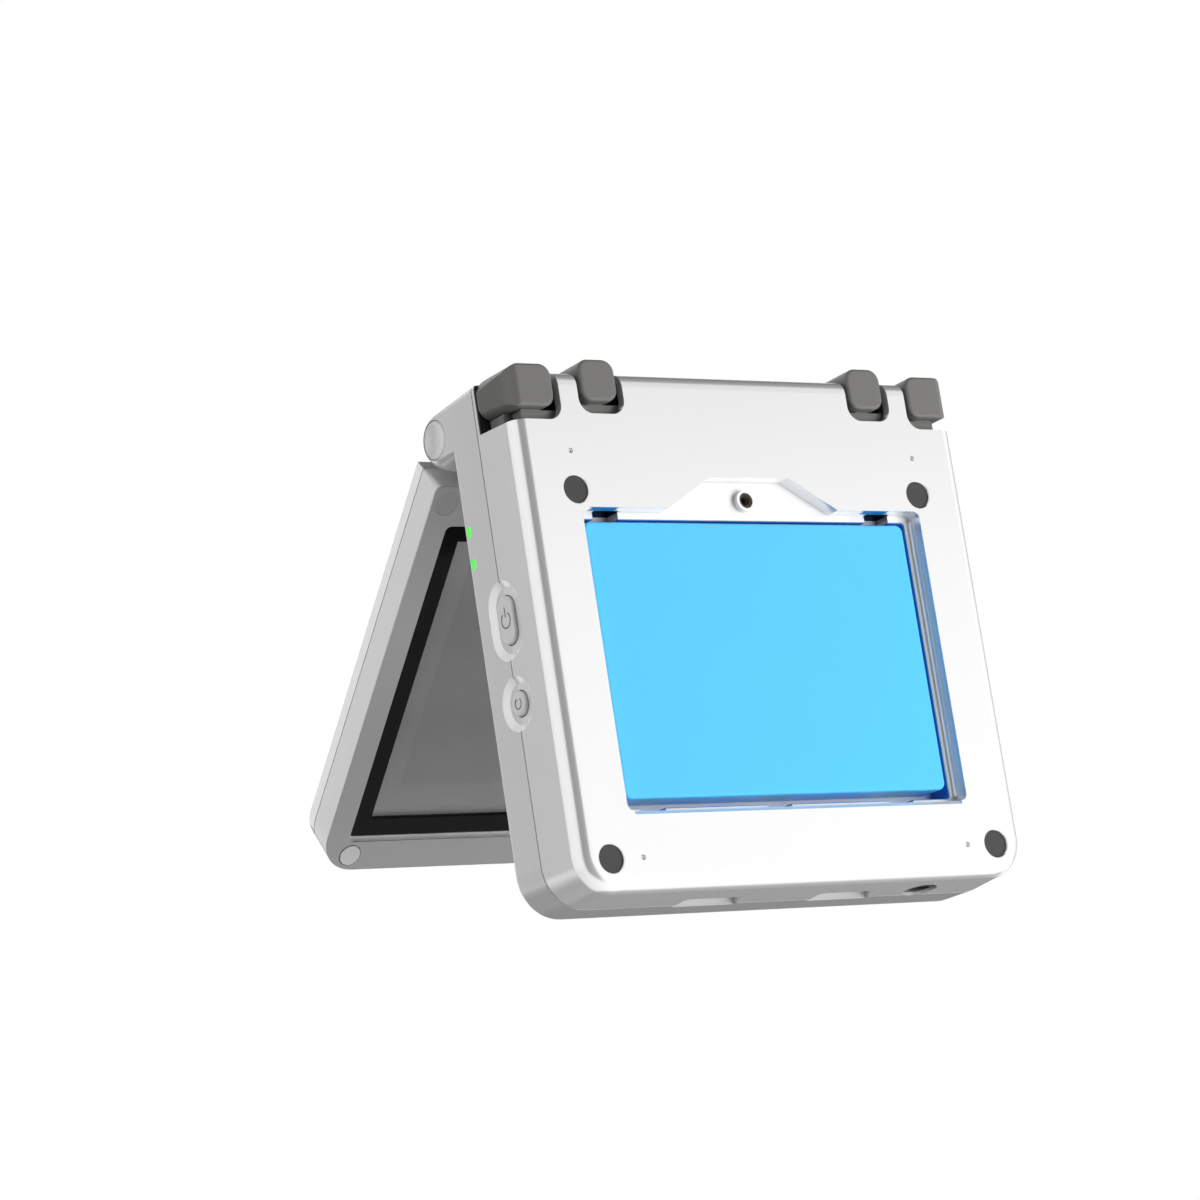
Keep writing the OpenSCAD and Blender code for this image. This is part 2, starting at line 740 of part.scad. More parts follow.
module knuckle() {
    foot_h = 0.2;
    hull() {
        translate([knuckle_in, axis_y, axis_z]) rotate([0, 90, 0]) domed_barrel(knuckle_w, 48);
        translate([knuckle_in, knuckle_front, bottom_h]) linear_extrude(foot_h) {
            square([knuckle_w - back_corner_r, body_d - knuckle_front]);
            square([knuckle_w, body_d - knuckle_front - back_corner_r]);
        }
        translate([side_x - back_corner_r, body_d - back_corner_r, bottom_h])
            cylinder(r = back_corner_r, h = foot_h, $fn = 32);
    }
}

// What the deck's slab gives up so that only the knuckle forms its back corners.
module knuckle_room() {
    translate([knuckle_in + slack, knuckle_front + slack, bottom_h - slack]) cube([knuckle_w, body_d, deck_h + 2 * slack]);
}

module deck_shell() {
    color("silver") placed() difference() {
        union() {
            difference() {
                union() {
                    difference() {
                        translate([0, 0, bottom_h])
                            rounded_slab(body_w, body_d, deck_h, corner_r, back_corner_r, 0, deck_edge_r);
                        both_sides() knuckle_room();
                    }
                    both_sides() knuckle();
                }
                translate([0, wall, bottom_h - slack]) rounded_slab(body_w - 2 * wall, body_d - 2 * wall,
                    deck_h - wall + slack, corner_r - wall, back_corner_r);
            }
            for (p = screw_places) translate([p[0], p[1], board_top])
                cylinder(r = deck_boss_r, h = deck_z - wall / 2 - board_top, $fn = fine);
        }
        translate([-knuckle_in, axis_y, axis_z]) rotate([0, 90, 0])
            cylinder(r = barrel_r + trough_gap, h = 2 * knuckle_in, $fn = smooth);
        for (p = screw_places) translate([p[0], p[1], bottom_h])
            cylinder(r = screw_r + part_gap / 2, h = screw_tip - bottom_h + part_gap, $fn = fine);
        for (p = screw_places) translate([p[0], p[1], board_z])
            cylinder(r = screw_r + part_gap / 2, h = bottom_h - board_z + slack, $fn = fine);
        both_sides() translate([0, axis_y, axis_z]) rotate([0, 90, 0]) {
            cylinder(r = pin_r, h = side_x - cap_t - slack, $fn = fine);
            translate([0, 0, side_x - cap_t]) cylinder(r = cap_r - cap_ring, h = cap_t + slack, $fn = smooth);
        }
        deck_openings();
        side_openings();
        front_openings();
    }
}

// ---- battery and fasteners ----

module battery_pack() {
    battery_corner_r = 1.3;
    battery_edge_r = 0.45;
    color("deepskyblue") placed() translate([battery_shift, pocket_y + battery_front_gap, battery_depth])
        rounded_slab(pocket_w - 2 * battery_side_gap, pocket_l - battery_front_gap - battery_rear_gap, battery_t,
            battery_corner_r, battery_corner_r, battery_edge_r, battery_edge_r);
}

// Thin frame of film that lines the pocket's walls round the battery.
module battery_liner() {
    color("royalblue") placed() translate([0, pocket_y + pocket_l / 2, ledge_depth + part_gap])
        linear_extrude(pocket_depth - ledge_depth - part_gap) difference() {
            rounded_rect(pocket_w - part_gap, pocket_l - part_gap, bay_corner_r - ledge_w / 2);
            rounded_rect(pocket_w - part_gap - 2 * liner_t, pocket_l - part_gap - 2 * liner_t, bay_corner_r - ledge_w / 2);
            for (x = [hook_x, hook_left_x]) translate([x, pocket_l / 2]) square([hook_w, 4 * liner_t], center = true);
            for (x = catch_x) translate([x, -pocket_l / 2]) square([hook_w, 4 * liner_t], center = true);
        }
}

// Dark sleeves inside the cover's hook slots and front catches.
module latch_sleeves() {
    inner_w = hook_w - 2 * latch_liner_t;
    color("midnightblue") placed() {
        for (x = [hook_x, hook_left_x]) translate([x, bay_back, hook_top]) difference() {
            translate([-hook_w / 2, 0, 0]) cube([hook_w, hook_depth, hook_bottom - hook_top]);
            translate([-inner_w / 2, -slack, latch_liner_t])
                cube([inner_w, hook_depth + slack - latch_liner_t, hook_bottom - hook_top - 2 * latch_liner_t]);
        }
        for (x = catch_x) translate([x, bay_front - catch_l, bay_chamfer]) difference() {
            translate([-hook_w / 2, 0, 0]) cube([hook_w, catch_l, hook_bottom - bay_chamfer]);
            translate([-inner_w / 2, latch_liner_t, -slack])
                cube([inner_w, catch_l + slack, slack + hook_bottom - bay_chamfer - latch_liner_t]);
        }
    }
}

module cover_insert() {
    color("darkgoldenrod") placed() translate([0, boss_y, insert_top]) difference() {
        cylinder(r = insert_r, h = insert_l, $fn = fine);
        translate([0, 0, -slack]) cylinder(r = cover_thread_r, h = insert_l + 2 * slack, $fn = fine);
    }
}

module case_screws() {
    head_z = plug_depth + plug_t + part_gap;
    recess = 0.8;
    for (p = screw_places) color("dimgray") placed() translate([p[0], p[1], head_z]) difference() {
        union() {
            cylinder(r = head_r, h = head_h, $fn = fine);
            cylinder(r = screw_r, h = screw_l, $fn = fine);
        }
        for (turn = [0, 90]) rotate([0, 0, turn]) cube([2, 0.5, 2 * recess], center = true);
    }
}

module screw_plugs() {
    for (p = screw_places) color("dimgray") placed() translate([p[0], p[1], plug_depth])
        cylinder(r = plug_r, h = plug_t, $fn = fine);
}

// ---- electronics in the base ----

module main_board() {
    color("seagreen") placed() difference() {
        union() {
            translate([0, wall + board_inset, board_z]) rounded_slab(body_w - 2 * (wall + board_inset),
                board_back - wall - board_inset, board_t, corner_r - wall, back_corner_r);
            translate([-inner_notch_x + 1, board_back - slack, board_z])
                cube([2 * inner_notch_x - 2, body_d - wall - part_gap - board_back + slack, board_t]);
        }
        for (p = screw_places) translate([p[0], p[1], board_z - slack])
            cylinder(r = cover_hole_r, h = board_t + 2 * slack, $fn = fine);
        translate([jack_x - jack_w / 2 - part_gap, -slack, board_z - slack])
            cube([jack_w + 2 * part_gap, wall + jack_l + part_gap + slack, board_t + 2 * slack]);
        translate([side_x - board_notch, reset_y - board_notch, board_z - slack])
            cube([board_notch, power_y - reset_y + 2.5 * board_notch, board_t + 2 * slack]);
        mirror([1, 0, 0]) translate([side_x - board_notch, volume_y - 2 * board_notch, board_z - slack])
            cube([board_notch, 4 * board_notch, board_t + 2 * slack]);
    }
}

module processor_shield() {
    color("lightsteelblue") placed() translate([-shield_w / 2, shield_y, board_top]) difference() {
        cube([shield_w, shield_l, shield_h]);
        translate([shield_t, shield_t, -slack])
            cube([shield_w - 2 * shield_t, shield_l - 2 * shield_t, shield_h - shield_t + slack]);
    }
}

module card_sockets() {
    body_h = board_z - card_z + card_h / 2 + 0.3;
    for (x = [card_right_x, card_left_x]) color("lightgray") placed()
        translate([x, wall + part_gap, board_z - body_h]) difference() {
            translate([-card_socket_w / 2, 0, 0]) cube([card_socket_w, card_socket_l - part_gap, body_h]);
            translate([-card_w / 2, -slack, 0.3]) cube([card_w, card_socket_l - 1 + slack, card_h]);
        }
}

module headphone_jack() {
    color("dimgray") placed() difference() {
        union() {
            translate([jack_x, wall + jack_l, jack_z]) rotate([90, 0, 0])
                cylinder(r = jack_collar_r, h = wall + jack_l - 0.5, $fn = fine);
            translate([jack_x - jack_w / 2, wall + part_gap, jack_z - jack_w * 0.4])
                cube([jack_w, jack_l - part_gap, jack_w * 0.8]);
        }
        translate([jack_x, wall + jack_l - 1, jack_z]) rotate([90, 0, 0])
            cylinder(r = jack_r, h = wall + jack_l + slack, $fn = fine);
    }
}

module charging_port() {
    lining = 0.3;
    color("silver") placed() translate([charge_x, body_d - 0.4, port_z]) rotate([90, 0, 0]) {
        difference() {
            linear_extrude(port_l) stadium(charge_half, port_r);
            translate([0, 0, -slack]) linear_extrude(port_l + slack - 1) stadium(charge_half, port_r - lining);
        }
        translate([-charge_half, -0.35, 1]) cube([2 * charge_half, 0.7, port_l - 1.5]);
    }
}

module video_port() {
    lining = 0.3;
    tongue_w = video_w - 4;
    tongue_t = 0.7;
    color("silver") placed() translate([video_x, body_d - 0.4 - port_l, port_z]) difference() {
        translate([-video_w / 2, 0, -video_h / 2]) cube([video_w, port_l, video_h]);
        difference() {
            translate([-video_w / 2 + lining, 1, -video_h / 2 + lining]) cube([video_w - 2 * lining, port_l, video_h - 2 * lining]);
            translate([-tongue_w / 2, 0, -tongue_t / 2]) cube([tongue_w, port_l - 1, tongue_t]);
        }
    }
}

module shoulder_switches() {
    room = shoulder_flange_l + shoulder_travel + switch_gap;
    outer_inset = 1;
    inner_inset = 2;
    w = 5;
    color("dimgray") placed() both_sides() {
        translate([outer_notch_x + outer_inset, body_d - outer_notch_l - room - switch_l, board_z - switch_h])
            cube([w, switch_l, switch_h]);
        translate([inner_notch_x + inner_inset, body_d - inner_notch_l - room - switch_l, board_z - switch_h])
            cube([w, switch_l, switch_h]);
    }
}

module side_switches() {
    reach = side_wall_in - part_gap - side_flange_t - side_travel - switch_gap;
    color("dimgray") placed() for (y = [power_y, reset_y])
        translate([reach - switch_l, y - switch_w / 2, board_top]) cube([switch_l, switch_w, switch_h - 1]);
}

module volume_switches() {
    reach = side_wall_in - part_gap - side_flange_t - side_travel - switch_gap;
    color("dimgray") placed() for (end = [-1, 1])
        translate([-reach, volume_y + end * volume_pitch / 2 - switch_w / 2, board_top]) cube([switch_l, switch_w, switch_h - 1]);
}

module speaker() {
    color("dimgray") placed() translate([speaker_x, speaker_y, deck_under - speaker_h])
        linear_extrude(speaker_h - speaker_gap) rounded_rect(speaker_w, speaker_l, speaker_corner_r);
}

module status_lights() {
    color("limegreen") placed() for (y = light_y) on_right_side(y, light_z)
        translate([0, 0, -wall - light_tail]) linear_extrude(wall + light_tail - light_recess)
        square([light_w - part_gap, light_h - part_gap], center = true);
}

module pad_membrane() {
    color("lightgray") placed() translate([-control_x, control_y, board_top]) {
        linear_extrude(membrane_t) rounded_rect(membrane_w, membrane_w, membrane_corner_r);
        cylinder(r = 1, h = pivot_z - pivot_r - part_gap - board_top, $fn = fine);
        for (turn = [0:90:270]) rotate([0, 0, turn]) translate([pad_dome_place, 0, 0])
            cylinder(r = dome_r, h = pad_low - pad_dome_gap - board_top, $fn = fine);
    }
}

module action_membrane() {
    color("lightgray") placed() translate([control_x, control_y, board_top]) {
        linear_extrude(membrane_t) rounded_rect(membrane_w, membrane_w, membrane_corner_r);
        for (turn = [0:90:270]) rotate([0, 0, turn]) translate([action_spread, 0, 0])
            cylinder(r = dome_r + 0.6, h = action_low - button_travel - part_gap - board_top, $fn = fine);
    }
}

module menu_membrane() {
    color("lightgray") placed() translate([0, menu_y, board_top]) {
        linear_extrude(membrane_t) rounded_rect(2 * (menu_spread + menu_membrane_end), menu_membrane_l, menu_membrane_l / 3);
        for (x = [-menu_spread, 0, menu_spread]) translate([x, 0, 0])
            cylinder(r = 1.4, h = action_low - button_travel - part_gap - board_top, $fn = fine);
    }
}

// ---- hinge ----

module hinge_caps() {
    color("lightgray") placed() both_sides() translate([side_x - cap_t, axis_y, axis_z]) rotate([0, 90, 0])
        difference() {
            rounded_pin(cap_r - 2 * cap_ring, cap_t, cap_edge_r);
            translate([0, 0, cap_t + cap_dish_r - cap_dish]) sphere(r = cap_dish_r, $fn = smooth);
        }
}

module hinge_pins() {
    color("silver") placed() both_sides() translate([side_x - cap_t - slack - pin_l, axis_y, axis_z])
        rotate([0, 90, 0]) cylinder(r = pin_r, h = pin_l, $fn = fine);
}

// ---- lid ----

module lid_neck() {
    w = 2 * (knuckle_in - hinge_gap);
    translate([-w / 2, 0, 0]) rotate([90, 0, 90]) linear_extrude(w) {
        translate([axis_y, axis_z]) circle(r = barrel_r, $fn = smooth);
        translate([lid_end - wall, lid_under + neck_low])
            square([axis_y - lid_end + wall, lid_top - neck_high - lid_under - neck_low]);
    }
}

module lid_screw_place() {
    both_sides() translate([side_x - lid_cover_screw_side, lid_end - lid_cover_screw_end, 0]) children();
}

module lid_pad_place() {
    both_sides() translate([side_x - lid_pad_side, lid_front + lid_pad_front, 0]) children();
}

module screen_window(margin, low, high) {
    translate([0, glass_y + glass_l / 2, low]) linear_extrude(high - low)
        rounded_rect(glass_w + 2 * margin, glass_l + 2 * margin, glass_corner_r);
}

// The lid's outside as one block, widest at its inner face.
module lid_block() {
    h = frame_t + cover_t;
    translate([0, lid_front, lid_top]) mirror([0, 0, 1]) intersection() {
        leaning_slab(body_w, lid_l + slack, h, lid_corner_r, lid_edge_r, lid_draft);
        back_edge(lid_l, h, lid_edge_r);
    }
}

module lid_frame() {
    inner_w = body_w - 2 * wall;
    color("silver") opened() difference() {
        union() {
            difference() {
                union() {
                    intersection() {
                        translate([0, lid_front, lid_under]) rounded_slab(body_w, lid_l, frame_t - parting_line,
                            lid_corner_r, lid_back_r, frame_edge_r);
                        lid_block();
                    }
                    translate([0, lid_front + lid_step, lid_joint - parting_line])
                        rounded_slab(body_w - 2 * lid_step, lid_l - 2 * lid_step, parting_line,
                            lid_corner_r - lid_step, lid_back_r - parting_line);
                }
                translate([0, lid_front + wall, lid_under + face_plate])
                    rounded_slab(inner_w, lid_l - 2 * wall, frame_t, lid_corner_r - wall, lid_back_r);
            }
            translate([0, glass_y + glass_l / 2, lid_under + face_plate / 2])
                linear_extrude(glass_depth + glass_t + lip_t - face_plate / 2)
                rounded_rect(glass_w + 3, glass_l + 3, glass_corner_r + 1);
            lid_screw_place() translate([0, 0, lid_under + face_plate / 2])
                cylinder(r = lid_boss_r, h = frame_t - face_plate / 2, $fn = fine);
            difference() {
                lid_neck();
                translate([-side_x, lid_front, lid_joint]) cube([body_w, lid_l, 2 * frame_t]);
            }
        }
        screen_window(glass_gap, lid_under - slack, screen_z);
        translate([0, -glass_ledge, 0]) screen_window(glass_gap, lid_under - slack, glass_z);
        screen_window(-lip_w, lid_under - slack, lid_top);
        lid_pad_place() translate([0, 0, lid_under - slack])
            cylinder(r = lid_pad_r + glass_gap, h = slack + lid_pad_t - lid_pad_proud, $fn = fine);
        lid_screw_place() {
            translate([0, 0, lid_under - slack])
                cylinder(r = lid_cover_screw_r + lid_disc_gap, h = slack + face_plate / 2 + lid_screw_head + part_gap, $fn = fine);
            translate([0, 0, lid_under]) cylinder(r = screw_r + part_gap, h = frame_t + slack, $fn = fine);
        }
        translate([-knuckle_in, axis_y, axis_z]) rotate([0, 90, 0])
            cylinder(r = pin_r + pin_fit, h = 2 * knuckle_in, $fn = fine);
        both_sides() translate([knuckle_in - hinge_gap - sleeve_l, axis_y, axis_z]) rotate([0, 90, 0])
            cylinder(r = sleeve_r, h = sleeve_l + slack, $fn = fine);
    }
}

module lid_cover() {
    color("gainsboro") opened() union() {
        difference() {
            intersection() {
                translate([0, lid_front, lid_joint]) rounded_slab(body_w, lid_l, cover_t + slack, lid_corner_r, lid_back_r);
                lid_block();
            }
            translate([0, lid_front + wall, lid_joint - slack]) rounded_slab(body_w - 2 * wall, lid_l - 2 * wall,
                cover_t - wall + slack, lid_corner_r - wall, lid_back_r);
        }
        lid_screw_place() difference() {
            translate([0, 0, lid_joint]) cylinder(r = lid_boss_r, h = cover_t - wall + part_gap, $fn = fine);
            translate([0, 0, lid_joint - slack]) cylinder(r = screw_r + part_gap / 2, h = slack + cover_t - wall, $fn = fine);
        }
    }
}

module screen_glass() {
    color("black") opened() translate([0, glass_y + glass_l / 2, glass_z]) linear_extrude(glass_t)
        rounded_rect(glass_w, glass_l, glass_corner_r);
}

module screen_panel() {
    color("dimgray") opened() translate([-screen_w / 2, screen_y, screen_z]) cube([screen_w, screen_l, screen_t]);
}

module screen_board() {
    w = screen_w - 2 * screen_board_side;
    color("seagreen") opened() translate([-w / 2, screen_y + screen_board_end, screen_z + screen_t])
        cube([w, screen_l - 2 * screen_board_end, screen_board_t]);
}

module friction_sleeves() {
    color("silver") opened() both_sides() translate([knuckle_in - hinge_gap - sleeve_l, axis_y, axis_z])
        rotate([0, 90, 0]) difference() {
            cylinder(r = sleeve_r, h = sleeve_l, $fn = fine);
            translate([0, 0, -slack]) cylinder(r = pin_r + pin_fit, h = sleeve_l + 2 * slack, $fn = fine);
        }
}

module lid_pads() {
    color("lightgray") opened() lid_pad_place() translate([0, 0, lid_under - lid_pad_proud])
        cylinder(r = lid_pad_r, h = lid_pad_t, $fn = fine);
}

module lid_screw_covers() {
    color("gray") opened() lid_screw_place() translate([0, 0, lid_under + lid_disc_depth])
        cylinder(r = lid_cover_screw_r, h = face_plate / 2 - lid_disc_depth, $fn = fine);
}

module lid_screws() {
    color("dimgray") opened() lid_screw_place() translate([0, 0, lid_under + face_plate / 2]) {
        cylinder(r = lid_screw_head_r, h = lid_screw_head, $fn = fine);
        cylinder(r = screw_r, h = lid_screw_head + lid_screw_l, $fn = fine);
    }
}

// ---- buttons on the deck ----

module pad_pivot() {
    color("dimgray") placed() translate([-control_x, control_y, pivot_z]) sphere(r = pivot_r, $fn = fine);
}

module direction_pad() {
    top = deck_z + pad_rise;
    color("lightgray") placed() translate([-control_x, control_y, 0]) difference() {
        union() {
            translate([0, 0, pad_low]) linear_extrude(top - pad_low) pad_cross(pad_reach, pad_w, 0.6);
            translate([0, 0, pad_flange_top - pad_flange_t]) cylinder(r = pad_flange_r, h = pad_flange_t, $fn = smooth);
            translate([0, 0, pivot_z + 0.3]) cylinder(r = pivot_r + 1, h = pad_low - pivot_z, $fn = fine);
        }
        translate([0, 0, pivot_z]) sphere(r = pivot_r + pivot_gap, $fn = fine);
        translate([0, 0, top + pad_dish_r - pad_dish]) sphere(r = pad_dish_r, $fn = smooth);
    }
}

module action_button(turn) {
    top = deck_z + action_rise;
    flange_z0 = deck_under - flange_gap - action_flange_t;
    color("lightgray") placed() translate([control_x, control_y, 0]) rotate([0, 0, turn])
        translate([action_spread, 0, 0]) {
            translate([0, 0, action_low]) rounded_pin(action_r, top - action_low, 0.5);
            translate([0, 0, flange_z0]) cylinder(r = action_r + action_flange, h = action_flange_t, $fn = smooth);
        }
}

module action_button_top() { action_button(90); }
module action_button_right() { action_button(0); }
module action_button_bottom() { action_button(270); }
module action_button_left() { action_button(180); }

module menu_key(x, half) {
    flange_z0 = deck_under - flange_gap - action_flange_t;
    color("lightgray") placed() translate([x, menu_y, 0]) {
        translate([0, 0, action_low]) linear_extrude(deck_z + menu_rise - action_low) stadium(half, menu_r);
        translate([0, 0, flange_z0]) linear_extrude(action_flange_t) stadium(half, menu_r + action_flange);
    }
}

module select_button() { menu_key(-menu_spread, menu_half); }
module start_button() { menu_key(menu_spread, menu_half); }
module menu_button() { menu_key(0, part_gap); }

// ---- buttons on the sides ----

module side_key(half, r) {
    h = wall + part_gap + side_flange_t / 2 - side_proud;
    translate([0, 0, -wall - part_gap - side_flange_t]) linear_extrude(side_flange_t) stadium(half, r + side_flange);
    translate([0, 0, -wall - part_gap - side_flange_t / 2]) {
        for (end = [-1, 1]) translate([end * half, 0, 0]) rounded_pin(r, h, side_round);
        both_sides() rotate([90, 0, 90]) linear_extrude(half) for (side = [0, 1]) mirror([side, 0])
            edge_profile(r, h, 0, side_round);
    }
}

module power_button() {
    color("gainsboro") placed() on_right_side(power_y, side_button_z) side_key(power_half, power_r);
}

module reset_button() {
    color("gainsboro") placed() on_right_side(reset_y, side_button_z) side_key(part_gap, reset_r);
}

module volume_up_button() {
    color("gainsboro") placed() on_left_side(volume_y + volume_pitch / 2, side_button_z) side_key(volume_half, volume_r);
}

module volume_down_button() {
    color("gainsboro") placed() on_left_side(volume_y - volume_pitch / 2, side_button_z) side_key(volume_half, volume_r);
}

// ---- shoulder buttons ----

module outer_shoulder() {
    x0 = outer_notch_x + shoulder_gap;
    y0 = body_d - outer_notch_l + shoulder_room;
    l = body_d + outer_proud - y0;
    h = shoulder_h - shoulder_floor;
    color("gray") placed() {
        intersection() {
            translate([side_x - outer_slab_w / 2 + (x0 + outer_slab_w - side_x), y0, shoulder_floor])
                rounded_slab(outer_slab_w, l, h, shoulder_corner_r, shoulder_corner_r, shoulder_edge_r, shoulder_top_r);
            translate([side_x - outer_slab_w / 2, y0, 0])
                rounded_slab(outer_slab_w, l, notch_h, edge_r, shoulder_side_r);
            translate([0, y0 + l, 0]) rotate([90, 0, 0]) linear_extrude(l) leaning_profile(side_x, bottom_h, edge_r, draft);
        }
        translate([outer_notch_x - flange_side, y0 - shoulder_room - shoulder_flange_l, flange_z])
            cube([outer_flange_w, shoulder_room + shoulder_flange_l - part_gap, flange_h]);
        translate([x0 + shoulder_corner_r, y0 - slack / 2, flange_z]) cube([outer_neck_w, slack, flange_h]);
    }
}

module inner_shoulder() {
    w = inner_notch_w - 2 * shoulder_gap;
    y0 = body_d - inner_notch_l + shoulder_room;
    x_mid = inner_notch_x + inner_notch_w / 2;
    flange_w = inner_notch_w + 2 * flange_side;
    color("gray") placed() {
        translate([x_mid, y0, shoulder_floor]) rounded_slab(w, body_d + inner_proud - y0, shoulder_h - shoulder_floor,
            shoulder_corner_r, shoulder_corner_r, shoulder_edge_r, shoulder_top_r);
        translate([x_mid - flange_w / 2, y0 - shoulder_room - shoulder_flange_l, flange_z])
            cube([flange_w, shoulder_room + shoulder_flange_l - part_gap, flange_h]);
        translate([x_mid - w / 2 + shoulder_corner_r, y0 - slack / 2, flange_z])
            cube([w - 2 * shoulder_corner_r, slack, flange_h]);
    }
}

// Dark plates that line the notches above the shoulder buttons.
module notch_plates() {
    color("dimgray") placed() both_sides() translate([0, 0, notch_h - plate_t]) linear_extrude(plate_t) {
        translate([inner_notch_x + plate_gap, body_d - inner_notch_l + plate_gap])
            square([inner_notch_w - 2 * plate_gap, inner_notch_l - 2 * plate_gap]);
        translate([outer_notch_x + plate_gap, body_d - outer_notch_l + plate_gap])
            square([side_x - outer_notch_x - 2 * plate_gap, outer_notch_l - 2 * plate_gap]);
    }
}

module shoulder_right_outer() { outer_shoulder(); }
module shoulder_right_inner() { inner_shoulder(); }
module shoulder_left_inner() { mirror([1, 0, 0]) inner_shoulder(); }
module shoulder_left_outer() { mirror([1, 0, 0]) outer_shoulder(); }

bottom_shell();
deck_shell();
battery_pack();
battery_liner();
latch_sleeves();
notch_plates();
cover_insert();
case_screws();
screw_plugs();
main_board();
processor_shield();
card_sockets();
headphone_jack();
charging_port();
video_port();
shoulder_switches();
side_switches();
volume_switches();
speaker();
status_lights();
pad_membrane();
action_membrane();
menu_membrane();
hinge_caps();
hinge_pins();
lid_frame();
lid_cover();
screen_glass();
screen_panel();
screen_board();
friction_sleeves();
lid_pads();
lid_screw_covers();
lid_screws();
pad_pivot();
direction_pad();
action_button_top();
action_button_right();
action_button_bottom();
action_button_left();
select_button();
start_button();
menu_button();
power_button();
reset_button();
volume_up_button();
volume_down_button();
shoulder_right_outer();
shoulder_right_inner();
shoulder_left_inner();
shoulder_left_outer();
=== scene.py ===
import json
import math

import bmesh
import bpy
from mathutils import Matrix, Vector

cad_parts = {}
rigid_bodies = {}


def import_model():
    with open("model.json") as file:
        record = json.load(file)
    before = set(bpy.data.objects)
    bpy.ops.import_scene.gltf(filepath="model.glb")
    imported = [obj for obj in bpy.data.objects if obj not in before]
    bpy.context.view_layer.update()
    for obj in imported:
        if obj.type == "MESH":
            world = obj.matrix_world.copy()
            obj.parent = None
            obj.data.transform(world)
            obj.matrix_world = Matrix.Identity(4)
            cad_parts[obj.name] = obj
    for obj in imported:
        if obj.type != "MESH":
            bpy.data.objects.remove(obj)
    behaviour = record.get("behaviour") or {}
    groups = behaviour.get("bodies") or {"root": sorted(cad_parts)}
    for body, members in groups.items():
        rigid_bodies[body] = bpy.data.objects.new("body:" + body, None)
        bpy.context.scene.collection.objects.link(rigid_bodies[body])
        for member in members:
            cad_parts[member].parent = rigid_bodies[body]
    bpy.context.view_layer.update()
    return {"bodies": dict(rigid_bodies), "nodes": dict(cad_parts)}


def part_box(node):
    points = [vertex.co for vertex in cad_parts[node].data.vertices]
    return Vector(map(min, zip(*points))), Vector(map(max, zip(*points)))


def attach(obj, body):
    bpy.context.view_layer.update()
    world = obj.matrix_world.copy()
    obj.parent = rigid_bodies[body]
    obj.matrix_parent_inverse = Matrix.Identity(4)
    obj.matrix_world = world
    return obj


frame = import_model()
cadNodes = frame["nodes"]
scene = bpy.context.scene
print("console: frame loaded,", len(cadNodes), "nodes")

mm = 0.001

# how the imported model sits: the lid's hinge axis and its resting angle
hinge = {"y": 36.4 * mm, "z": 22.4 * mm, "restDegrees": 46.0}

# the closed lid in millimetres: its free edge to the hinge axis, and its inner face above the table plane
lidPlate = {"length": 79.9, "face": 17.9}

# the view, with its axes and place in the frame and its focal length in the picture's own units
cameraView = {
    "right": (-0.8292, -0.1475, -0.5391),
    "up": (0.0002, 0.9645, -0.2642),
    "back": (0.5589, -0.2191, -0.7997),
    "place": (0.41621, -0.14665, -0.54862),
    "focalPixels": 4386.8,
    "framePixels": 1200.0,
    "sensorWidth": 36.0,
    "clip": (0.01, 20.0),
}


def addCamera(values):
    data = bpy.data.cameras.new("camera")
    data.sensor_fit = "HORIZONTAL"
    data.sensor_width = values["sensorWidth"]
    data.lens = values["sensorWidth"] * values["focalPixels"] / values["framePixels"]
    data.clip_start, data.clip_end = values["clip"]
    camera = bpy.data.objects.new("camera", data)
    turn = Matrix((values["right"], values["up"], values["back"])).transposed().to_4x4()
    camera.matrix_world = Matrix.Translation(values["place"]) @ turn
    scene.collection.objects.link(camera)
    scene.camera = camera


addCamera(cameraView)
print("console: camera placed")


def newGroup(name, inputs, outputs):
    tree = bpy.data.node_groups.new(name, "ShaderNodeTree")
    for label, kind, value in inputs:
        socket = tree.interface.new_socket(label, in_out="INPUT", socket_type="NodeSocket" + kind)
        if value is not None:
            socket.default_value = value
    for label, kind in outputs:
        tree.interface.new_socket(label, in_out="OUTPUT", socket_type="NodeSocket" + kind)
    start = tree.nodes.new("NodeGroupInput")
    end = tree.nodes.new("NodeGroupOutput")
    start.location = (-900, 0)
    end.location = (700, 0)
    return tree, start, end


def addNode(tree, kind, place=(0, 0), **values):
    node = tree.nodes.new("ShaderNode" + kind)
    node.location = place
    for key, value in values.items():
        if hasattr(node, key):
            setattr(node, key, value)
        else:
            node.inputs[key.replace("_", " ")].default_value = value
    return node


def mathNode(tree, operation, first, second=None, place=(0, 0), third=None, clamp=False):
    node = tree.nodes.new("ShaderNodeMath")
    node.operation = operation
    node.use_clamp = clamp
    node.location = place
    for socket, value in zip(node.inputs, (first, second, third)):
        if isinstance(value, (int, float)):
            socket.default_value = value
        elif value is not None:
            tree.links.new(value, socket)
    return node.outputs[0]


def mixColours(tree, factor, first, second, place=(0, 0)):
    # each colour is a red, green and blue triple or another node's output
    node = tree.nodes.new("ShaderNodeMix")
    node.data_type = "RGBA"
    node.location = place
    tree.links.new(factor, node.inputs[0])
    for socket, value in ((node.inputs[6], first), (node.inputs[7], second)):
        if isinstance(value, tuple):
            socket.default_value = (*value, 1)
        else:
            tree.links.new(value, socket)
    return node.outputs[2]


def placeInMillimetres(tree, place):
    # where a point lies in its object's own coordinates
    where = addNode(tree, "TexCoord", place)
    scaled = addNode(tree, "VectorMath", (place[0] + 200, place[1]), operation="SCALE", Scale=1 / mm)
    tree.links.new(where.outputs["Object"], scaled.inputs[0])
    return scaled.outputs[0]


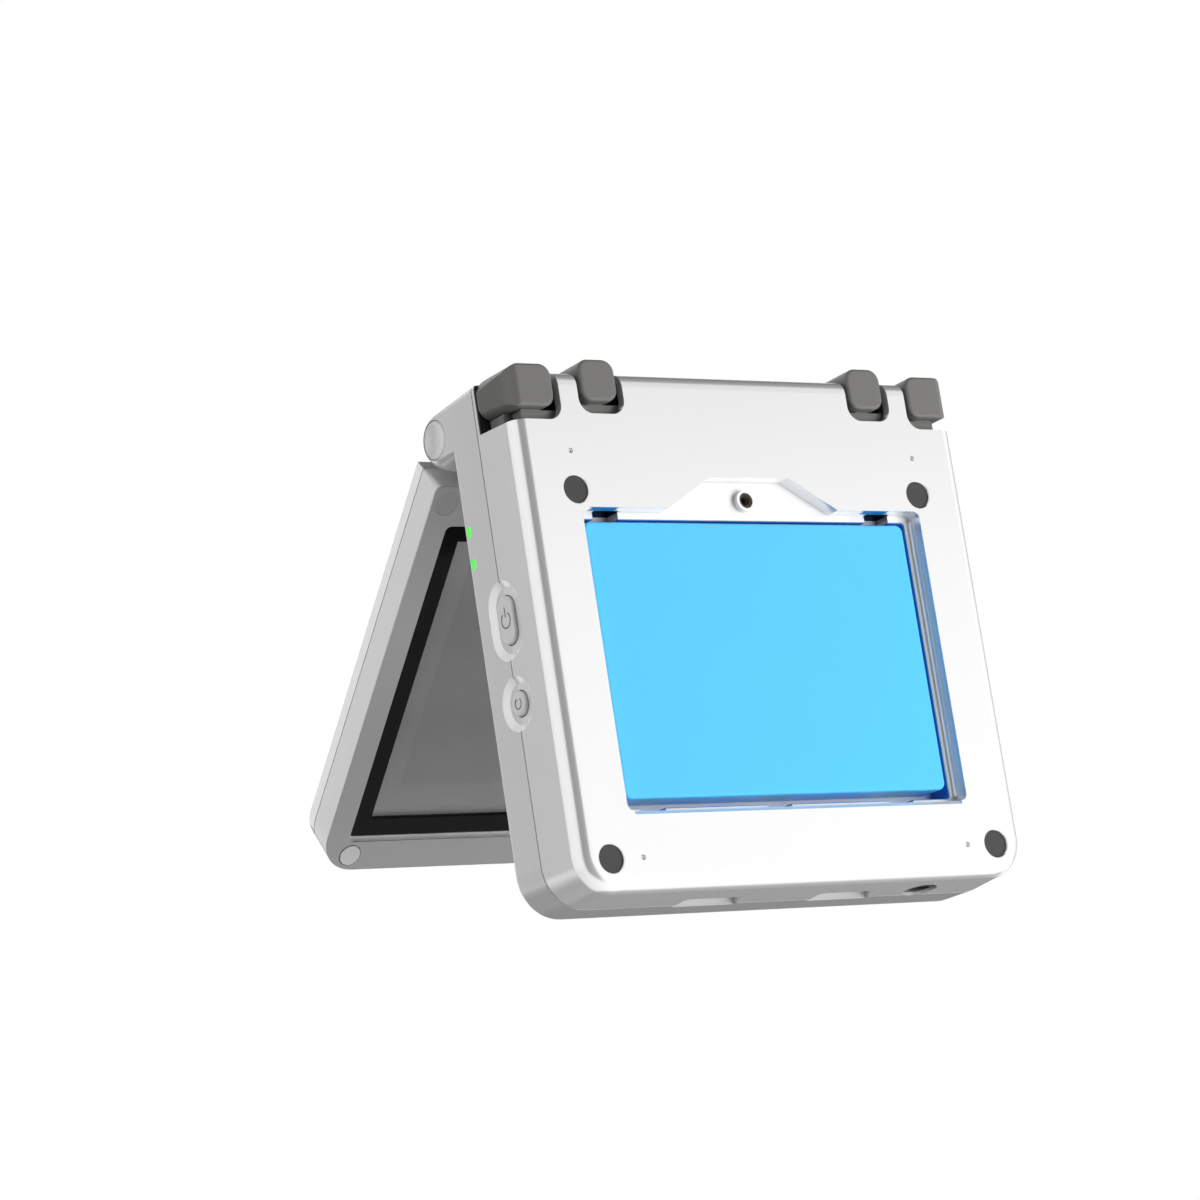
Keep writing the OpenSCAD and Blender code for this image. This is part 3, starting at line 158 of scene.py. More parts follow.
def makeMouldedGrain():
    # fine moulding texture and a slow, faint change of tone
    tree, start, end = newGroup(
        "mouldedGrain",
        [("Grain Size", "Float", 0.12), ("Tone Size", "Float", 9.0)],
        [("Height", "Float"), ("Tone", "Float")])
    where = placeInMillimetres(tree, (-900, 250))
    fine = addNode(tree, "TexNoise", (-300, 250), Detail=2.0)
    cells = addNode(tree, "TexVoronoi", (-300, 0), feature="SMOOTH_F1")
    slow = addNode(tree, "TexNoise", (-300, -300), Detail=3.0, Roughness=0.5)
    grainScale = mathNode(tree, "DIVIDE", 1.0, start.outputs["Grain Size"], (-600, 50))
    toneScale = mathNode(tree, "DIVIDE", 1.0, start.outputs["Tone Size"], (-600, -250))
    for node, scale in ((fine, grainScale), (cells, grainScale), (slow, toneScale)):
        tree.links.new(where, node.inputs["Vector"])
        tree.links.new(scale, node.inputs["Scale"])
    height = mathNode(tree, "MULTIPLY", fine.outputs["Fac"], cells.outputs["Distance"], (100, 200))
    tree.links.new(height, end.inputs["Height"])
    tree.links.new(slow.outputs["Fac"], end.inputs["Tone"])
    return tree


def makeEdgeWear():
    # rounds the look of sharp edges and finds them, for a painted highlight along them, broken into patches
    tree, start, end = newGroup(
        "edgeHighlightAndNormal",
        [("Spread", "Float", 0.3), ("Patchiness", "Float", 0.5), ("Gain", "Float", 4.0),
         ("Patch Scale", "Float", 900.0)],
        [("Edge", "Float"), ("Soft Normal", "Vector")])
    radius = mathNode(tree, "MULTIPLY", start.outputs["Spread"], mm, (-650, 100))
    bevel = addNode(tree, "Bevel", (-450, 100), samples=3)
    tree.links.new(radius, bevel.inputs["Radius"])
    surface = addNode(tree, "NewGeometry", (-450, -100))
    match = addNode(tree, "VectorMath", (-200, 50), operation="DOT_PRODUCT")
    tree.links.new(bevel.outputs[0], match.inputs[0])
    tree.links.new(surface.outputs["Normal"], match.inputs[1])
    edge = mathNode(tree, "SUBTRACT", 1.0, match.outputs["Value"], (0, 50))
    edge = mathNode(tree, "MULTIPLY", edge, start.outputs["Gain"], (150, 50))
    patches = addNode(tree, "TexNoise", (-200, -250), Detail=3.0)
    tree.links.new(start.outputs["Patch Scale"], patches.inputs["Scale"])
    place = addNode(tree, "TexCoord", (-450, -300))
    tree.links.new(place.outputs["Object"], patches.inputs["Vector"])
    patchy = mathNode(tree, "MULTIPLY", patches.outputs["Fac"], start.outputs["Patchiness"], (0, -200))
    solid = mathNode(tree, "SUBTRACT", 1.0, start.outputs["Patchiness"], (0, -350))
    cover = mathNode(tree, "ADD", patchy, solid, (200, -250))
    masked = mathNode(tree, "MULTIPLY", edge, cover, (350, 0))
    masked = mathNode(tree, "MINIMUM", masked, 1.0, (500, 0))
    tree.links.new(masked, end.inputs["Edge"])
    tree.links.new(bevel.outputs[0], end.inputs["Soft Normal"])
    return tree


def makeSurfaceTone():
    # a base colour with a faint mottle, a painted highlight on edges and painted shade in crevices
    tree, start, end = newGroup(
        "surfaceTone",
        [("Colour", "Color", (0.8, 0.8, 0.8, 1)), ("Tone", "Float", 0.5), ("Mottle", "Float", 0.04),
         ("Edge", "Float", 0.0), ("Edge Highlight Colour", "Color", (1, 1, 1, 1)), ("Edge Highlight Amount", "Float", 0.15),
         ("Crevice", "Float", 0.4), ("Crevice Reach", "Float", 0.5)],
        [("Colour", "Color")])
    centred = mathNode(tree, "SUBTRACT", start.outputs["Tone"], 0.5, (-600, 200))
    swing = mathNode(tree, "MULTIPLY", centred, start.outputs["Mottle"], (-450, 200))
    bright = mathNode(tree, "ADD", swing, 1.0, (-300, 200))
    toned = addNode(tree, "VectorMath", (-100, 200), operation="SCALE")
    tree.links.new(start.outputs["Colour"], toned.inputs[0])
    tree.links.new(bright, toned.inputs["Scale"])
    # painted highlight: sharp edges are mixed towards a lighter edge colour
    edged = mathNode(tree, "MULTIPLY", start.outputs["Edge"], start.outputs["Edge Highlight Amount"], (-300, 0))
    edgeHighlighted = mixColours(tree, edged, toned.outputs[0], start.outputs["Edge Highlight Colour"], (100, 100))
    # painted shade: ambient occlusion darkens crevices, seams and recesses
    reach = mathNode(tree, "MULTIPLY", start.outputs["Crevice Reach"], mm, (-500, -200))
    occlusion = addNode(tree, "AmbientOcclusion", (-300, -200), samples=3, only_local=True)
    tree.links.new(reach, occlusion.inputs["Distance"])
    hidden = mathNode(tree, "SUBTRACT", 1.0, occlusion.outputs["AO"], (-100, -200))
    shade = mathNode(tree, "MULTIPLY", hidden, start.outputs["Crevice"], (100, -200))
    kept = mathNode(tree, "SUBTRACT", 1.0, shade, (250, -200))
    final = addNode(tree, "VectorMath", (400, 0), operation="SCALE")
    tree.links.new(edgeHighlighted, final.inputs[0])
    tree.links.new(kept, final.inputs["Scale"])
    tree.links.new(final.outputs[0], end.inputs["Colour"])
    return tree


def makeSmudges():
    # roughness that drifts where a surface is handled
    tree, start, end = newGroup(
        "smudges",
        [("Roughness", "Float", 0.35), ("Amount", "Float", 0.06), ("Size", "Float", 6.0)],
        [("Roughness", "Float")])
    squeeze, tilt = 1.4, 0.6  # the clouds are narrower one way and lie off the axes
    place = addNode(tree, "TexCoord", (-900, 200))
    stretch = addNode(tree, "Mapping", (-700, 200), Scale=(1 / mm, squeeze / mm, 1 / mm),
                      Rotation=(0.0, 0.0, tilt))
    tree.links.new(place.outputs["Object"], stretch.inputs["Vector"])
    clouds = addNode(tree, "TexNoise", (-400, 200), Detail=5.0, Roughness=0.62, Distortion=0.6)
    tree.links.new(mathNode(tree, "DIVIDE", 1.0, start.outputs["Size"], (-600, 0)), clouds.inputs["Scale"])
    tree.links.new(stretch.outputs[0], clouds.inputs["Vector"])
    centred = mathNode(tree, "SUBTRACT", clouds.outputs["Fac"], 0.5, (-100, 200))
    swing = mathNode(tree, "MULTIPLY", centred, start.outputs["Amount"], (50, 200))
    total = mathNode(tree, "ADD", swing, start.outputs["Roughness"], (200, 200))
    tree.links.new(total, end.inputs["Roughness"])
    return tree


def makeFineLines():
    # straight parallel marks: machining, brushing or a row of contacts
    tree, start, end = newGroup(
        "fineLines",
        [("Pitch", "Float", 0.2), ("Direction", "Vector", (1, 0, 0)), ("Raggedness", "Float", 0.3),
         ("Wobble Scale", "Float", 700.0)],
        [("Lines", "Float")])
    place = addNode(tree, "TexCoord", (-900, 200))
    along = addNode(tree, "VectorMath", (-700, 200), operation="DOT_PRODUCT")
    tree.links.new(place.outputs["Object"], along.inputs[0])
    tree.links.new(start.outputs["Direction"], along.inputs[1])
    wobble = addNode(tree, "TexNoise", (-700, -50), Detail=4.0)
    tree.links.new(place.outputs["Object"], wobble.inputs["Vector"])
    tree.links.new(start.outputs["Wobble Scale"], wobble.inputs["Scale"])
    shift = mathNode(tree, "MULTIPLY", wobble.outputs["Fac"], start.outputs["Raggedness"], (-450, -50))
    length = mathNode(tree, "MULTIPLY", along.outputs["Value"], 2 * math.pi / mm, (-450, 200))
    turns = mathNode(tree, "DIVIDE", length, start.outputs["Pitch"], (-300, 200))
    wander = mathNode(tree, "MULTIPLY", shift, 2 * math.pi, (-300, -50))
    phase = mathNode(tree, "ADD", turns, wander, (-150, 150))
    wave = mathNode(tree, "SINE", phase, None, (0, 150))
    lines = mathNode(tree, "MULTIPLY_ADD", wave, 0.5, (150, 150), third=0.5)
    tree.links.new(lines, end.inputs["Lines"])
    return tree


def makeLidPlane():
    # where a point lies on the lid: inside a window, along from the free edge and above its inner face
    tree, start, end = newGroup(
        "lidPlane",
        [("Half Width", "Float", 36.7), ("Low", "Float", 9.6), ("High", "Float", 63.3),
         ("Blur", "Float", 0.08)],
        [("Inside", "Float"), ("Along", "Float"), ("Height", "Float")])
    place = addNode(tree, "TexCoord", (-1100, 200))
    turn = addNode(tree, "VectorRotate", (-900, 200), rotation_type="AXIS_ANGLE",
                   Angle=math.radians(hinge["restDegrees"]))
    turn.inputs["Axis"].default_value = (1, 0, 0)
    turn.inputs["Center"].default_value = (0, hinge["y"], hinge["z"])
    tree.links.new(place.outputs["Object"], turn.inputs["Vector"])
    parts = addNode(tree, "SeparateXYZ", (-700, 200))
    tree.links.new(turn.outputs[0], parts.inputs[0])
    across = mathNode(tree, "MULTIPLY", parts.outputs["X"], 1 / mm, (-500, 300))
    across = mathNode(tree, "ABSOLUTE", across, None, (-350, 300))
    fromHinge = mathNode(tree, "SUBTRACT", parts.outputs["Y"], hinge["y"], (-500, 100))
    along = mathNode(tree, "MULTIPLY_ADD", fromHinge, 1 / mm, (-350, 100), third=lidPlate["length"])
    height = mathNode(tree, "MULTIPLY_ADD", parts.outputs["Z"], 1 / mm, (-350, -100), third=-lidPlate["face"])

    def soften(distance, place):
        share = mathNode(tree, "DIVIDE", distance, start.outputs["Blur"], place)
        return mathNode(tree, "ADD", share, 0.5, (place[0] + 150, place[1]), clamp=True)

    sideRoom = soften(mathNode(tree, "SUBTRACT", start.outputs["Half Width"], across, (-150, 300)), (0, 300))
    lowRoom = soften(mathNode(tree, "SUBTRACT", along, start.outputs["Low"], (-150, 100)), (0, 100))
    highRoom = soften(mathNode(tree, "SUBTRACT", start.outputs["High"], along, (-150, -100)), (0, -100))
    inside = mathNode(tree, "MULTIPLY", sideRoom, lowRoom, (350, 200))
    inside = mathNode(tree, "MULTIPLY", inside, highRoom, (500, 100))
    tree.links.new(inside, end.inputs["Inside"])
    tree.links.new(along, end.inputs["Along"])
    tree.links.new(height, end.inputs["Height"])
    return tree


def makeBayMask():
    # the open battery bay, from just above the lower housing's face
    tree, start, end = newGroup(
        "bayMask",
        [("Half Width", "Float", 34.2), ("Front", "Float", -30.9), ("Back", "Float", 24.5),
         ("Face", "Float", 0.3), ("Blur", "Float", 0.5)],
        [("Inside", "Float")])
    parts = addNode(tree, "SeparateXYZ", (-700, 200))
    tree.links.new(placeInMillimetres(tree, (-1100, 200)), parts.inputs[0])
    across = mathNode(tree, "ABSOLUTE", parts.outputs["X"], None, (-500, 300))
    rooms = [mathNode(tree, "SUBTRACT", start.outputs["Half Width"], across, (-350, 300)),
             mathNode(tree, "SUBTRACT", parts.outputs["Y"], start.outputs["Front"], (-350, 100)),
             mathNode(tree, "SUBTRACT", start.outputs["Back"], parts.outputs["Y"], (-350, -100)),
             mathNode(tree, "SUBTRACT", parts.outputs["Z"], start.outputs["Face"], (-350, -300))]
    inside = 1.0
    for index, room in enumerate(rooms):
        share = mathNode(tree, "DIVIDE", room, start.outputs["Blur"], (-150, 300 - 200 * index), clamp=True)
        inside = mathNode(tree, "MULTIPLY", inside, share, (50 + 150 * index, 200))
    tree.links.new(inside, end.inputs["Inside"])
    return tree


mouldedGrain = makeMouldedGrain()
edgeHighlightAndNormal = makeEdgeWear()
surfaceTone = makeSurfaceTone()
smudges = makeSmudges()
fineLines = makeFineLines()
lidPlane = makeLidPlane()
bayMask = makeBayMask()
print("console: node groups made")


class Finish:
    # one material with its own Principled shader, fed by the shared groups
    def __init__(self, name, **fixed):
        self.material = bpy.data.materials.new(name)
        self.material.use_nodes = True
        self.tree = self.material.node_tree
        self.shader = self.tree.nodes["Principled BSDF"]
        for label, value in fixed.items():
            self.shader.inputs[label.replace("_", " ")].default_value = value

    def group(self, tree, place, **values):
        node = self.tree.nodes.new("ShaderNodeGroup")
        node.node_tree = tree
        node.location = place
        for label, value in values.items():
            node.inputs[label.replace("_", " ")].default_value = value
        return node

    def join(self, source, target):
        self.tree.links.new(source, target)


def lidFrameColour(finish, values):
    # painted shade: the inner face grows darker from the hinge to the free end, and the sides are coated like
    # the cover
    area = finish.group(lidPlane, (-1200, 400))
    above = mathNode(finish.tree, "MULTIPLY_ADD", area.outputs["Height"], 1 / values["sideBlur"], (-950, 400),
                     third=-values["sideStart"] / values["sideBlur"], clamp=True)
    share = mathNode(finish.tree, "DIVIDE", area.outputs["Along"], values["gradeLength"], (-950, 550),
                     clamp=True)
    face = mixColours(finish.tree, share, values["freeEndShadeColour"], values["colour"], (-750, 550))
    return mixColours(finish.tree, above, face, values["sideColour"], (-550, 400))


def shellMetallic(finish, values):
    # inside the bay the coating thins out towards plain plastic
    bay = finish.group(bayMask, (-900, 600))
    return mathNode(finish.tree, "MULTIPLY_ADD", bay.outputs["Inside"],
                    values["bayMetallic"] - values["metallic"], (-650, 600), third=values["metallic"])


# crevice sets the strength of painted shade in crevices for every plastic
plasticDefaults = {"ior": 1.46, "metallic": 0.0, "coat": 0.0, "coatRoughness": 0.12, "grainSize": 0.14,
                   "grainStrength": 0.2, "grainDepth": 0.006, "toneSize": 11.0, "mottle": 0.03,
                   "crevice": 0.35, "creviceReach": 0.5, "smudge": 0.06, "smudgeSize": 7.0, "patchiness": 0.4}


def plasticFinish(name, chosen):
    values = {**plasticDefaults, **chosen}
    finish = Finish(name, IOR=values["ior"], Metallic=values["metallic"], Coat_Weight=values["coat"],
                    Coat_Roughness=values["coatRoughness"])
    grain = finish.group(mouldedGrain, (-900, 0), Grain_Size=values["grainSize"],
                         Tone_Size=values["toneSize"])
    tone = finish.group(surfaceTone, (-500, 100), Colour=(*values["colour"], 1), Mottle=values["mottle"],
                        Crevice=values["crevice"], Crevice_Reach=values["creviceReach"])
    rough = finish.group(smudges, (-500, -250), Roughness=values["roughness"], Amount=values["smudge"],
                         Size=values["smudgeSize"])
    bump = addNode(finish.tree, "Bump", (-300, -500), Strength=values["grainStrength"],
                   Distance=values["grainDepth"] * mm)
    finish.join(grain.outputs["Tone"], tone.inputs["Tone"])
    if "sideColour" in values:
        finish.join(lidFrameColour(finish, values), tone.inputs["Colour"])
    if "bayMetallic" in values:
        finish.join(shellMetallic(finish, values), finish.shader.inputs["Metallic"])
    # painted highlight: a lighter colour along the sharp edges that the bevel finds
    if "edgeSpread" in values:
        edgeHighlighter = finish.group(edgeHighlightAndNormal, (-900, -250), Spread=values["edgeSpread"],
                            Patchiness=values["patchiness"])
        tone.inputs["Edge Highlight Colour"].default_value = (*values["edgeHighlightColour"], 1)
        tone.inputs["Edge Highlight Amount"].default_value = values["edgeHighlightAmount"]
        finish.join(edgeHighlighter.outputs["Edge"], tone.inputs["Edge"])
        finish.join(edgeHighlighter.outputs["Soft Normal"], bump.inputs["Normal"])
    finish.join(tone.outputs["Colour"], finish.shader.inputs["Base Color"])
    finish.join(rough.outputs["Roughness"], finish.shader.inputs["Roughness"])
    finish.join(grain.outputs["Height"], bump.inputs["Height"])
    finish.join(bump.outputs["Normal"], finish.shader.inputs["Normal"])
    return finish


# what the three satin coatings of the outer shells have in common
pearl = {"smudge": 0.04, "grainSize": 0.5, "grainDepth": 0.002, "coat": 0.2, "coatRoughness": 0.12,
         "crevice": 0.25, "creviceReach": 0.7, "mottle": 0.02}

# the edge colours below are painted highlights along sharp edges
plastics = {
    "pearlShell": {**pearl, "colour": (0.86, 0.86, 0.86), "metallic": 0.62, "bayMetallic": 0.34,
                   "roughness": 0.22, "coat": 0.25, "coatRoughness": 0.1},
    # the deck's coating is a darker copy of the shell's, as painted shade on the deck
    "pearlDeckShaded": {**pearl, "colour": (0.735, 0.735, 0.735), "metallic": 0.62, "roughness": 0.23},
    "pearlLid": {**pearl, "colour": (0.80, 0.80, 0.80), "metallic": 0.60, "roughness": 0.23},
    # the darker colour at the lid frame's free end is painted shade
    "lidFrame": {"colour": (0.51, 0.51, 0.51), "freeEndShadeColour": (0.275, 0.275, 0.275), "gradeLength": 80.0,
                 "sideColour": (0.73, 0.73, 0.73), "sideStart": 0.1, "sideBlur": 0.2, "metallic": 0.30,
                 "roughness": 0.34, "grainSize": 0.5, "grainDepth": 0.003, "crevice": 0.3,
                 "creviceReach": 0.6, "mottle": 0.02},
    "batteryFilm": {"colour": (0.092, 0.49, 0.90), "roughness": 0.32, "ior": 1.25, "grainSize": 0.8,
                    "grainDepth": 0.003, "coat": 0.05, "crevice": 0.2, "creviceReach": 0.5, "mottle": 0.03,
                    "toneSize": 16.0},
    "linerFilm": {"colour": (0.03, 0.22, 0.68), "roughness": 0.22, "grainSize": 0.6, "grainDepth": 0.002,
                  "crevice": 0.2},
    "latchFoil": {"colour": (0.012, 0.22, 0.52), "roughness": 0.25, "grainSize": 0.6, "grainDepth": 0.002},
    # near-black liners in the hook slots, whose colour is painted shade inside the slots
    "latchShadePlastic": {"colour": (0.008, 0.022, 0.05), "roughness": 0.3, "crevice": 0.2},
    "shoulderPlastic": {"colour": (0.138, 0.136, 0.132), "roughness": 0.33, "grainSize": 0.4,
                        "grainDepth": 0.004, "coat": 0.1, "crevice": 0.45, "creviceReach": 0.9,
                        "edgeHighlightColour": (0.30, 0.295, 0.285), "edgeHighlightAmount": 0.45, "edgeSpread": 0.35,
                        "mottle": 0.05},
    "notchPlastic": {"colour": (0.026, 0.026, 0.025), "roughness": 0.42, "grainSize": 0.4,
                     "grainDepth": 0.005, "crevice": 0.4, "creviceReach": 0.9},
    "sideButton": {"colour": (0.76, 0.76, 0.75), "metallic": 0.15, "roughness": 0.32, "grainSize": 0.4,
                   "grainDepth": 0.002, "crevice": 0.6, "edgeHighlightColour": (0.80, 0.80, 0.79),
                   "edgeHighlightAmount": 0.25, "edgeSpread": 0.2},
    "controlGloss": {"colour": (0.50, 0.50, 0.51), "roughness": 0.2, "coat": 0.4, "coatRoughness": 0.05,
                     "grainSize": 0.5, "grainDepth": 0.002, "crevice": 0.45, "creviceReach": 0.8,
                     "mottle": 0.04},
    "hingeCap": {"colour": (0.69, 0.69, 0.69), "metallic": 0.3, "roughness": 0.32, "grainSize": 0.4,
                 "grainDepth": 0.002, "crevice": 0.6, "edgeHighlightColour": (0.95, 0.95, 0.95), "edgeHighlightAmount": 0.5,
                 "edgeSpread": 0.2},
    "markInk": {"colour": (0.16, 0.16, 0.16), "roughness": 0.5, "grainSize": 0.1, "grainDepth": 0.002},
    "darkMoulding": {"colour": (0.035, 0.035, 0.04), "roughness": 0.42, "grainSize": 0.3},
    "screwRubber": {"colour": (0.048, 0.048, 0.048), "roughness": 0.62, "grainSize": 0.3,
                    "grainDepth": 0.010, "grainStrength": 0.5, "edgeHighlightColour": (0.16, 0.16, 0.16),
                    "edgeHighlightAmount": 0.3, "edgeSpread": 0.2, "mottle": 0.15, "toneSize": 1.5},
    "lidPad": {"colour": (0.50, 0.50, 0.50), "roughness": 0.5, "grainSize": 0.3, "grainDepth": 0.006,
               "edgeHighlightColour": (0.9, 0.9, 0.9), "edgeHighlightAmount": 0.6, "edgeSpread": 0.2, "crevice": 0.5},
    "lidScrewMark": {"colour": (0.42, 0.42, 0.42), "roughness": 0.5, "grainSize": 0.3, "grainDepth": 0.006},
    "silicone": {"colour": (0.50, 0.51, 0.53), "roughness": 0.7, "grainSize": 0.4, "grainDepth": 0.01},
}
made = {name: plasticFinish(name, values) for name, values in plastics.items()}


# crevice sets the strength of painted shade in crevices for every metal
metalDefaults = {"raggedness": 0.8, "lineStrength": 0.2, "lineDepth": 0.004, "grainSize": 0.2,
                 "toneSize": 4.0, "mottle": 0.12, "crevice": 0.5, "creviceReach": 0.6, "smudge": 0.12,
                 "smudgeSize": 3.0}


def metalFinish(name, chosen):
    values = {**metalDefaults, **chosen}
    finish = Finish(name, Metallic=1.0)
    lines = finish.group(fineLines, (-900, 0), Pitch=values["pitch"], Raggedness=values["raggedness"])
    grain = finish.group(mouldedGrain, (-900, 250), Grain_Size=values["grainSize"],
                         Tone_Size=values["toneSize"])
    tone = finish.group(surfaceTone, (-500, 100), Colour=(*values["colour"], 1), Mottle=values["mottle"],
                        Crevice=values["crevice"], Crevice_Reach=values["creviceReach"])
    rough = finish.group(smudges, (-500, -250), Roughness=values["roughness"], Amount=values["smudge"],
                         Size=values["smudgeSize"])
    bump = addNode(finish.tree, "Bump", (-300, -500), Strength=values["lineStrength"],
                   Distance=values["lineDepth"] * mm)
    finish.join(grain.outputs["Tone"], tone.inputs["Tone"])
    finish.join(tone.outputs["Colour"], finish.shader.inputs["Base Color"])
    finish.join(rough.outputs["Roughness"], finish.shader.inputs["Roughness"])
    finish.join(lines.outputs["Lines"], bump.inputs["Height"])
    finish.join(bump.outputs["Normal"], finish.shader.inputs["Normal"])
    return finish


metals = {
    "platedSteel": {"colour": (0.60, 0.61, 0.63), "roughness": 0.32, "pitch": 0.09},
    # a blackened insert, whose dark tone is also painted shade deep in the screw hole
    "darkInsert": {"colour": (0.10, 0.09, 0.07), "roughness": 0.4, "pitch": 0.25},
}
made.update({name: metalFinish(name, values) for name, values in metals.items()})


boardLook = {"lacquer": (0.02, 0.16, 0.07), "track": (0.06, 0.30, 0.13), "pad": (0.72, 0.60, 0.35),
             "trackScale": 420.0, "trackGap": 0.03, "trackDepth": 0.02, "trackStrength": 0.4,
             "padScale": 380.0, "padSize": 0.12, "roughness": 0.3, "coat": 0.3}


def boardFinish(values):
    # circuit board: lacquer over copper tracks and a scatter of pads
    finish = Finish("circuitBoard", Roughness=values["roughness"], Coat_Weight=values["coat"])
    place = addNode(finish.tree, "TexCoord", (-1100, 200))
    tracks = addNode(finish.tree, "TexBrick", (-800, 200), Scale=values["trackScale"],
                     Mortar_Size=values["trackGap"])
    pads = addNode(finish.tree, "TexVoronoi", (-800, -150), Scale=values["padScale"], distance="CHEBYCHEV")
    finish.join(place.outputs["Object"], tracks.inputs["Vector"])
    finish.join(place.outputs["Object"], pads.inputs["Vector"])
    onPad = mathNode(finish.tree, "LESS_THAN", pads.outputs["Distance"], values["padSize"], (-550, -150))
    lacquer = mixColours(finish.tree, tracks.outputs["Fac"], values["lacquer"], values["track"], (-500, 200))
    final = mixColours(finish.tree, onPad, lacquer, values["pad"], (-300, 100))
    finish.join(final, finish.shader.inputs["Base Color"])
    bump = addNode(finish.tree, "Bump", (-300, -300), Strength=values["trackStrength"],
                   Distance=values["trackDepth"] * mm)
    finish.join(tracks.outputs["Fac"], bump.inputs["Height"])
    finish.join(bump.outputs["Normal"], finish.shader.inputs["Normal"])
    return finish


glassLook = {"border": (0.006, 0.006, 0.006), "window": (0.02, 0.02, 0.022), "clearness": 0.9, "ior": 1.16,
             "roughness": 0.09, "smudge": 0.08, "smudgeSize": 9.0}


def glassFinish(values):
    # cover glass with a black printed border; the middle is clear
    finish = Finish("coverGlass", IOR=values["ior"])
    area = finish.group(lidPlane, (-900, 200))
    colour = mixColours(finish.tree, area.outputs["Inside"], values["border"], values["window"], (-400, 200))
    finish.join(colour, finish.shader.inputs["Base Color"])
    alpha = mathNode(finish.tree, "MULTIPLY_ADD", area.outputs["Inside"], -values["clearness"], (-300, 0),
                     third=1.0)
    finish.join(alpha, finish.shader.inputs["Alpha"])
    rough = finish.group(smudges, (-500, -250), Roughness=values["roughness"], Amount=values["smudge"],
                         Size=values["smudgeSize"])
    finish.join(rough.outputs["Roughness"], finish.shader.inputs["Roughness"])
    return finish


panelLook = {"middle": (0.72, 0.72, 0.725), "edge": (0.66, 0.66, 0.665), "halfWidth": 36.0, "low": 10.3,
             "high": 62.6, "blur": 2.5, "rowPitch": 0.22, "rowContrast": 0.012, "ior": 1.4, "roughness": 0.38,
             "smudge": 0.04, "smudgeSize": 12.0}


def panelFinish(values):
    # unlit screen: a grey sheet with very fine, faint rows under its polariser
    finish = Finish("screenPanel", IOR=values["ior"])
    area = finish.group(lidPlane, (-900, 200), Half_Width=values["halfWidth"], Low=values["low"],
                        High=values["high"], Blur=values["blur"])
    colour = mixColours(finish.tree, area.outputs["Inside"], values["edge"], values["middle"], (-500, 200))
    rows = finish.group(fineLines, (-900, -100), Pitch=values["rowPitch"], Raggedness=0.0)
    shade = mathNode(finish.tree, "MULTIPLY_ADD", rows.outputs["Lines"], values["rowContrast"], (-650, -50),
                     third=1 - values["rowContrast"] / 2)
    final = addNode(finish.tree, "VectorMath", (-300, 100), operation="SCALE")
    finish.join(colour, final.inputs[0])
    finish.join(shade, final.inputs["Scale"])
    finish.join(final.outputs[0], finish.shader.inputs["Base Color"])
    rough = finish.group(smudges, (-500, -250), Roughness=values["roughness"], Amount=values["smudge"],
                         Size=values["smudgeSize"])
    finish.join(rough.outputs["Roughness"], finish.shader.inputs["Roughness"])
    return finish


lightLook = {"dim": (0.02, 0.62, 0.02), "bright": (0.06, 0.90, 0.05), "strength": 0.85, "toneSize": 1.2,
             "roughness": 0.25}


def lightPipeFinish(values):
    # clear green pipe, lit from behind, with a slow change from dim to bright
    finish = Finish("greenLight", Roughness=values["roughness"], Emission_Strength=values["strength"])
    grain = finish.group(mouldedGrain, (-900, 0), Tone_Size=values["toneSize"])
    colour = mixColours(finish.tree, grain.outputs["Tone"], values["dim"], values["bright"], (-500, 100))
    finish.join(colour, finish.shader.inputs["Base Color"])
    finish.join(colour, finish.shader.inputs["Emission Color"])
    return finish


clothLook = {"gap": (0.008, 0.008, 0.009), "thread": (0.06, 0.06, 0.065), "pitch": 0.35, "raggedness": 0.1,
             "depth": 0.05, "strength": 0.6, "roughness": 0.85}


def grilleClothFinish(values):
    # woven dust cloth over the speaker
    finish = Finish("speakerCloth", Roughness=values["roughness"])
    threads = [finish.group(fineLines, (-900, height), Pitch=values["pitch"], Direction=direction,
                            Raggedness=values["raggedness"]).outputs["Lines"]
               for height, direction in ((150, (1, 0, 0)), (-100, (0, 1, 0)))]
    weave = mathNode(finish.tree, "MULTIPLY", *threads, (-600, 50))
    colour = mixColours(finish.tree, weave, values["gap"], values["thread"], (-400, 100))
    finish.join(colour, finish.shader.inputs["Base Color"])
    bump = addNode(finish.tree, "Bump", (-300, -200), Strength=values["strength"],
                   Distance=values["depth"] * mm)
    finish.join(weave, bump.inputs["Height"])
    finish.join(bump.outputs["Normal"], finish.shader.inputs["Normal"])
    return finish


made["circuitBoard"] = boardFinish(boardLook)
made["coverGlass"] = glassFinish(glassLook)
made["screenPanel"] = panelFinish(panelLook)
made["greenLight"] = lightPipeFinish(lightLook)
made["speakerCloth"] = grilleClothFinish(clothLook)

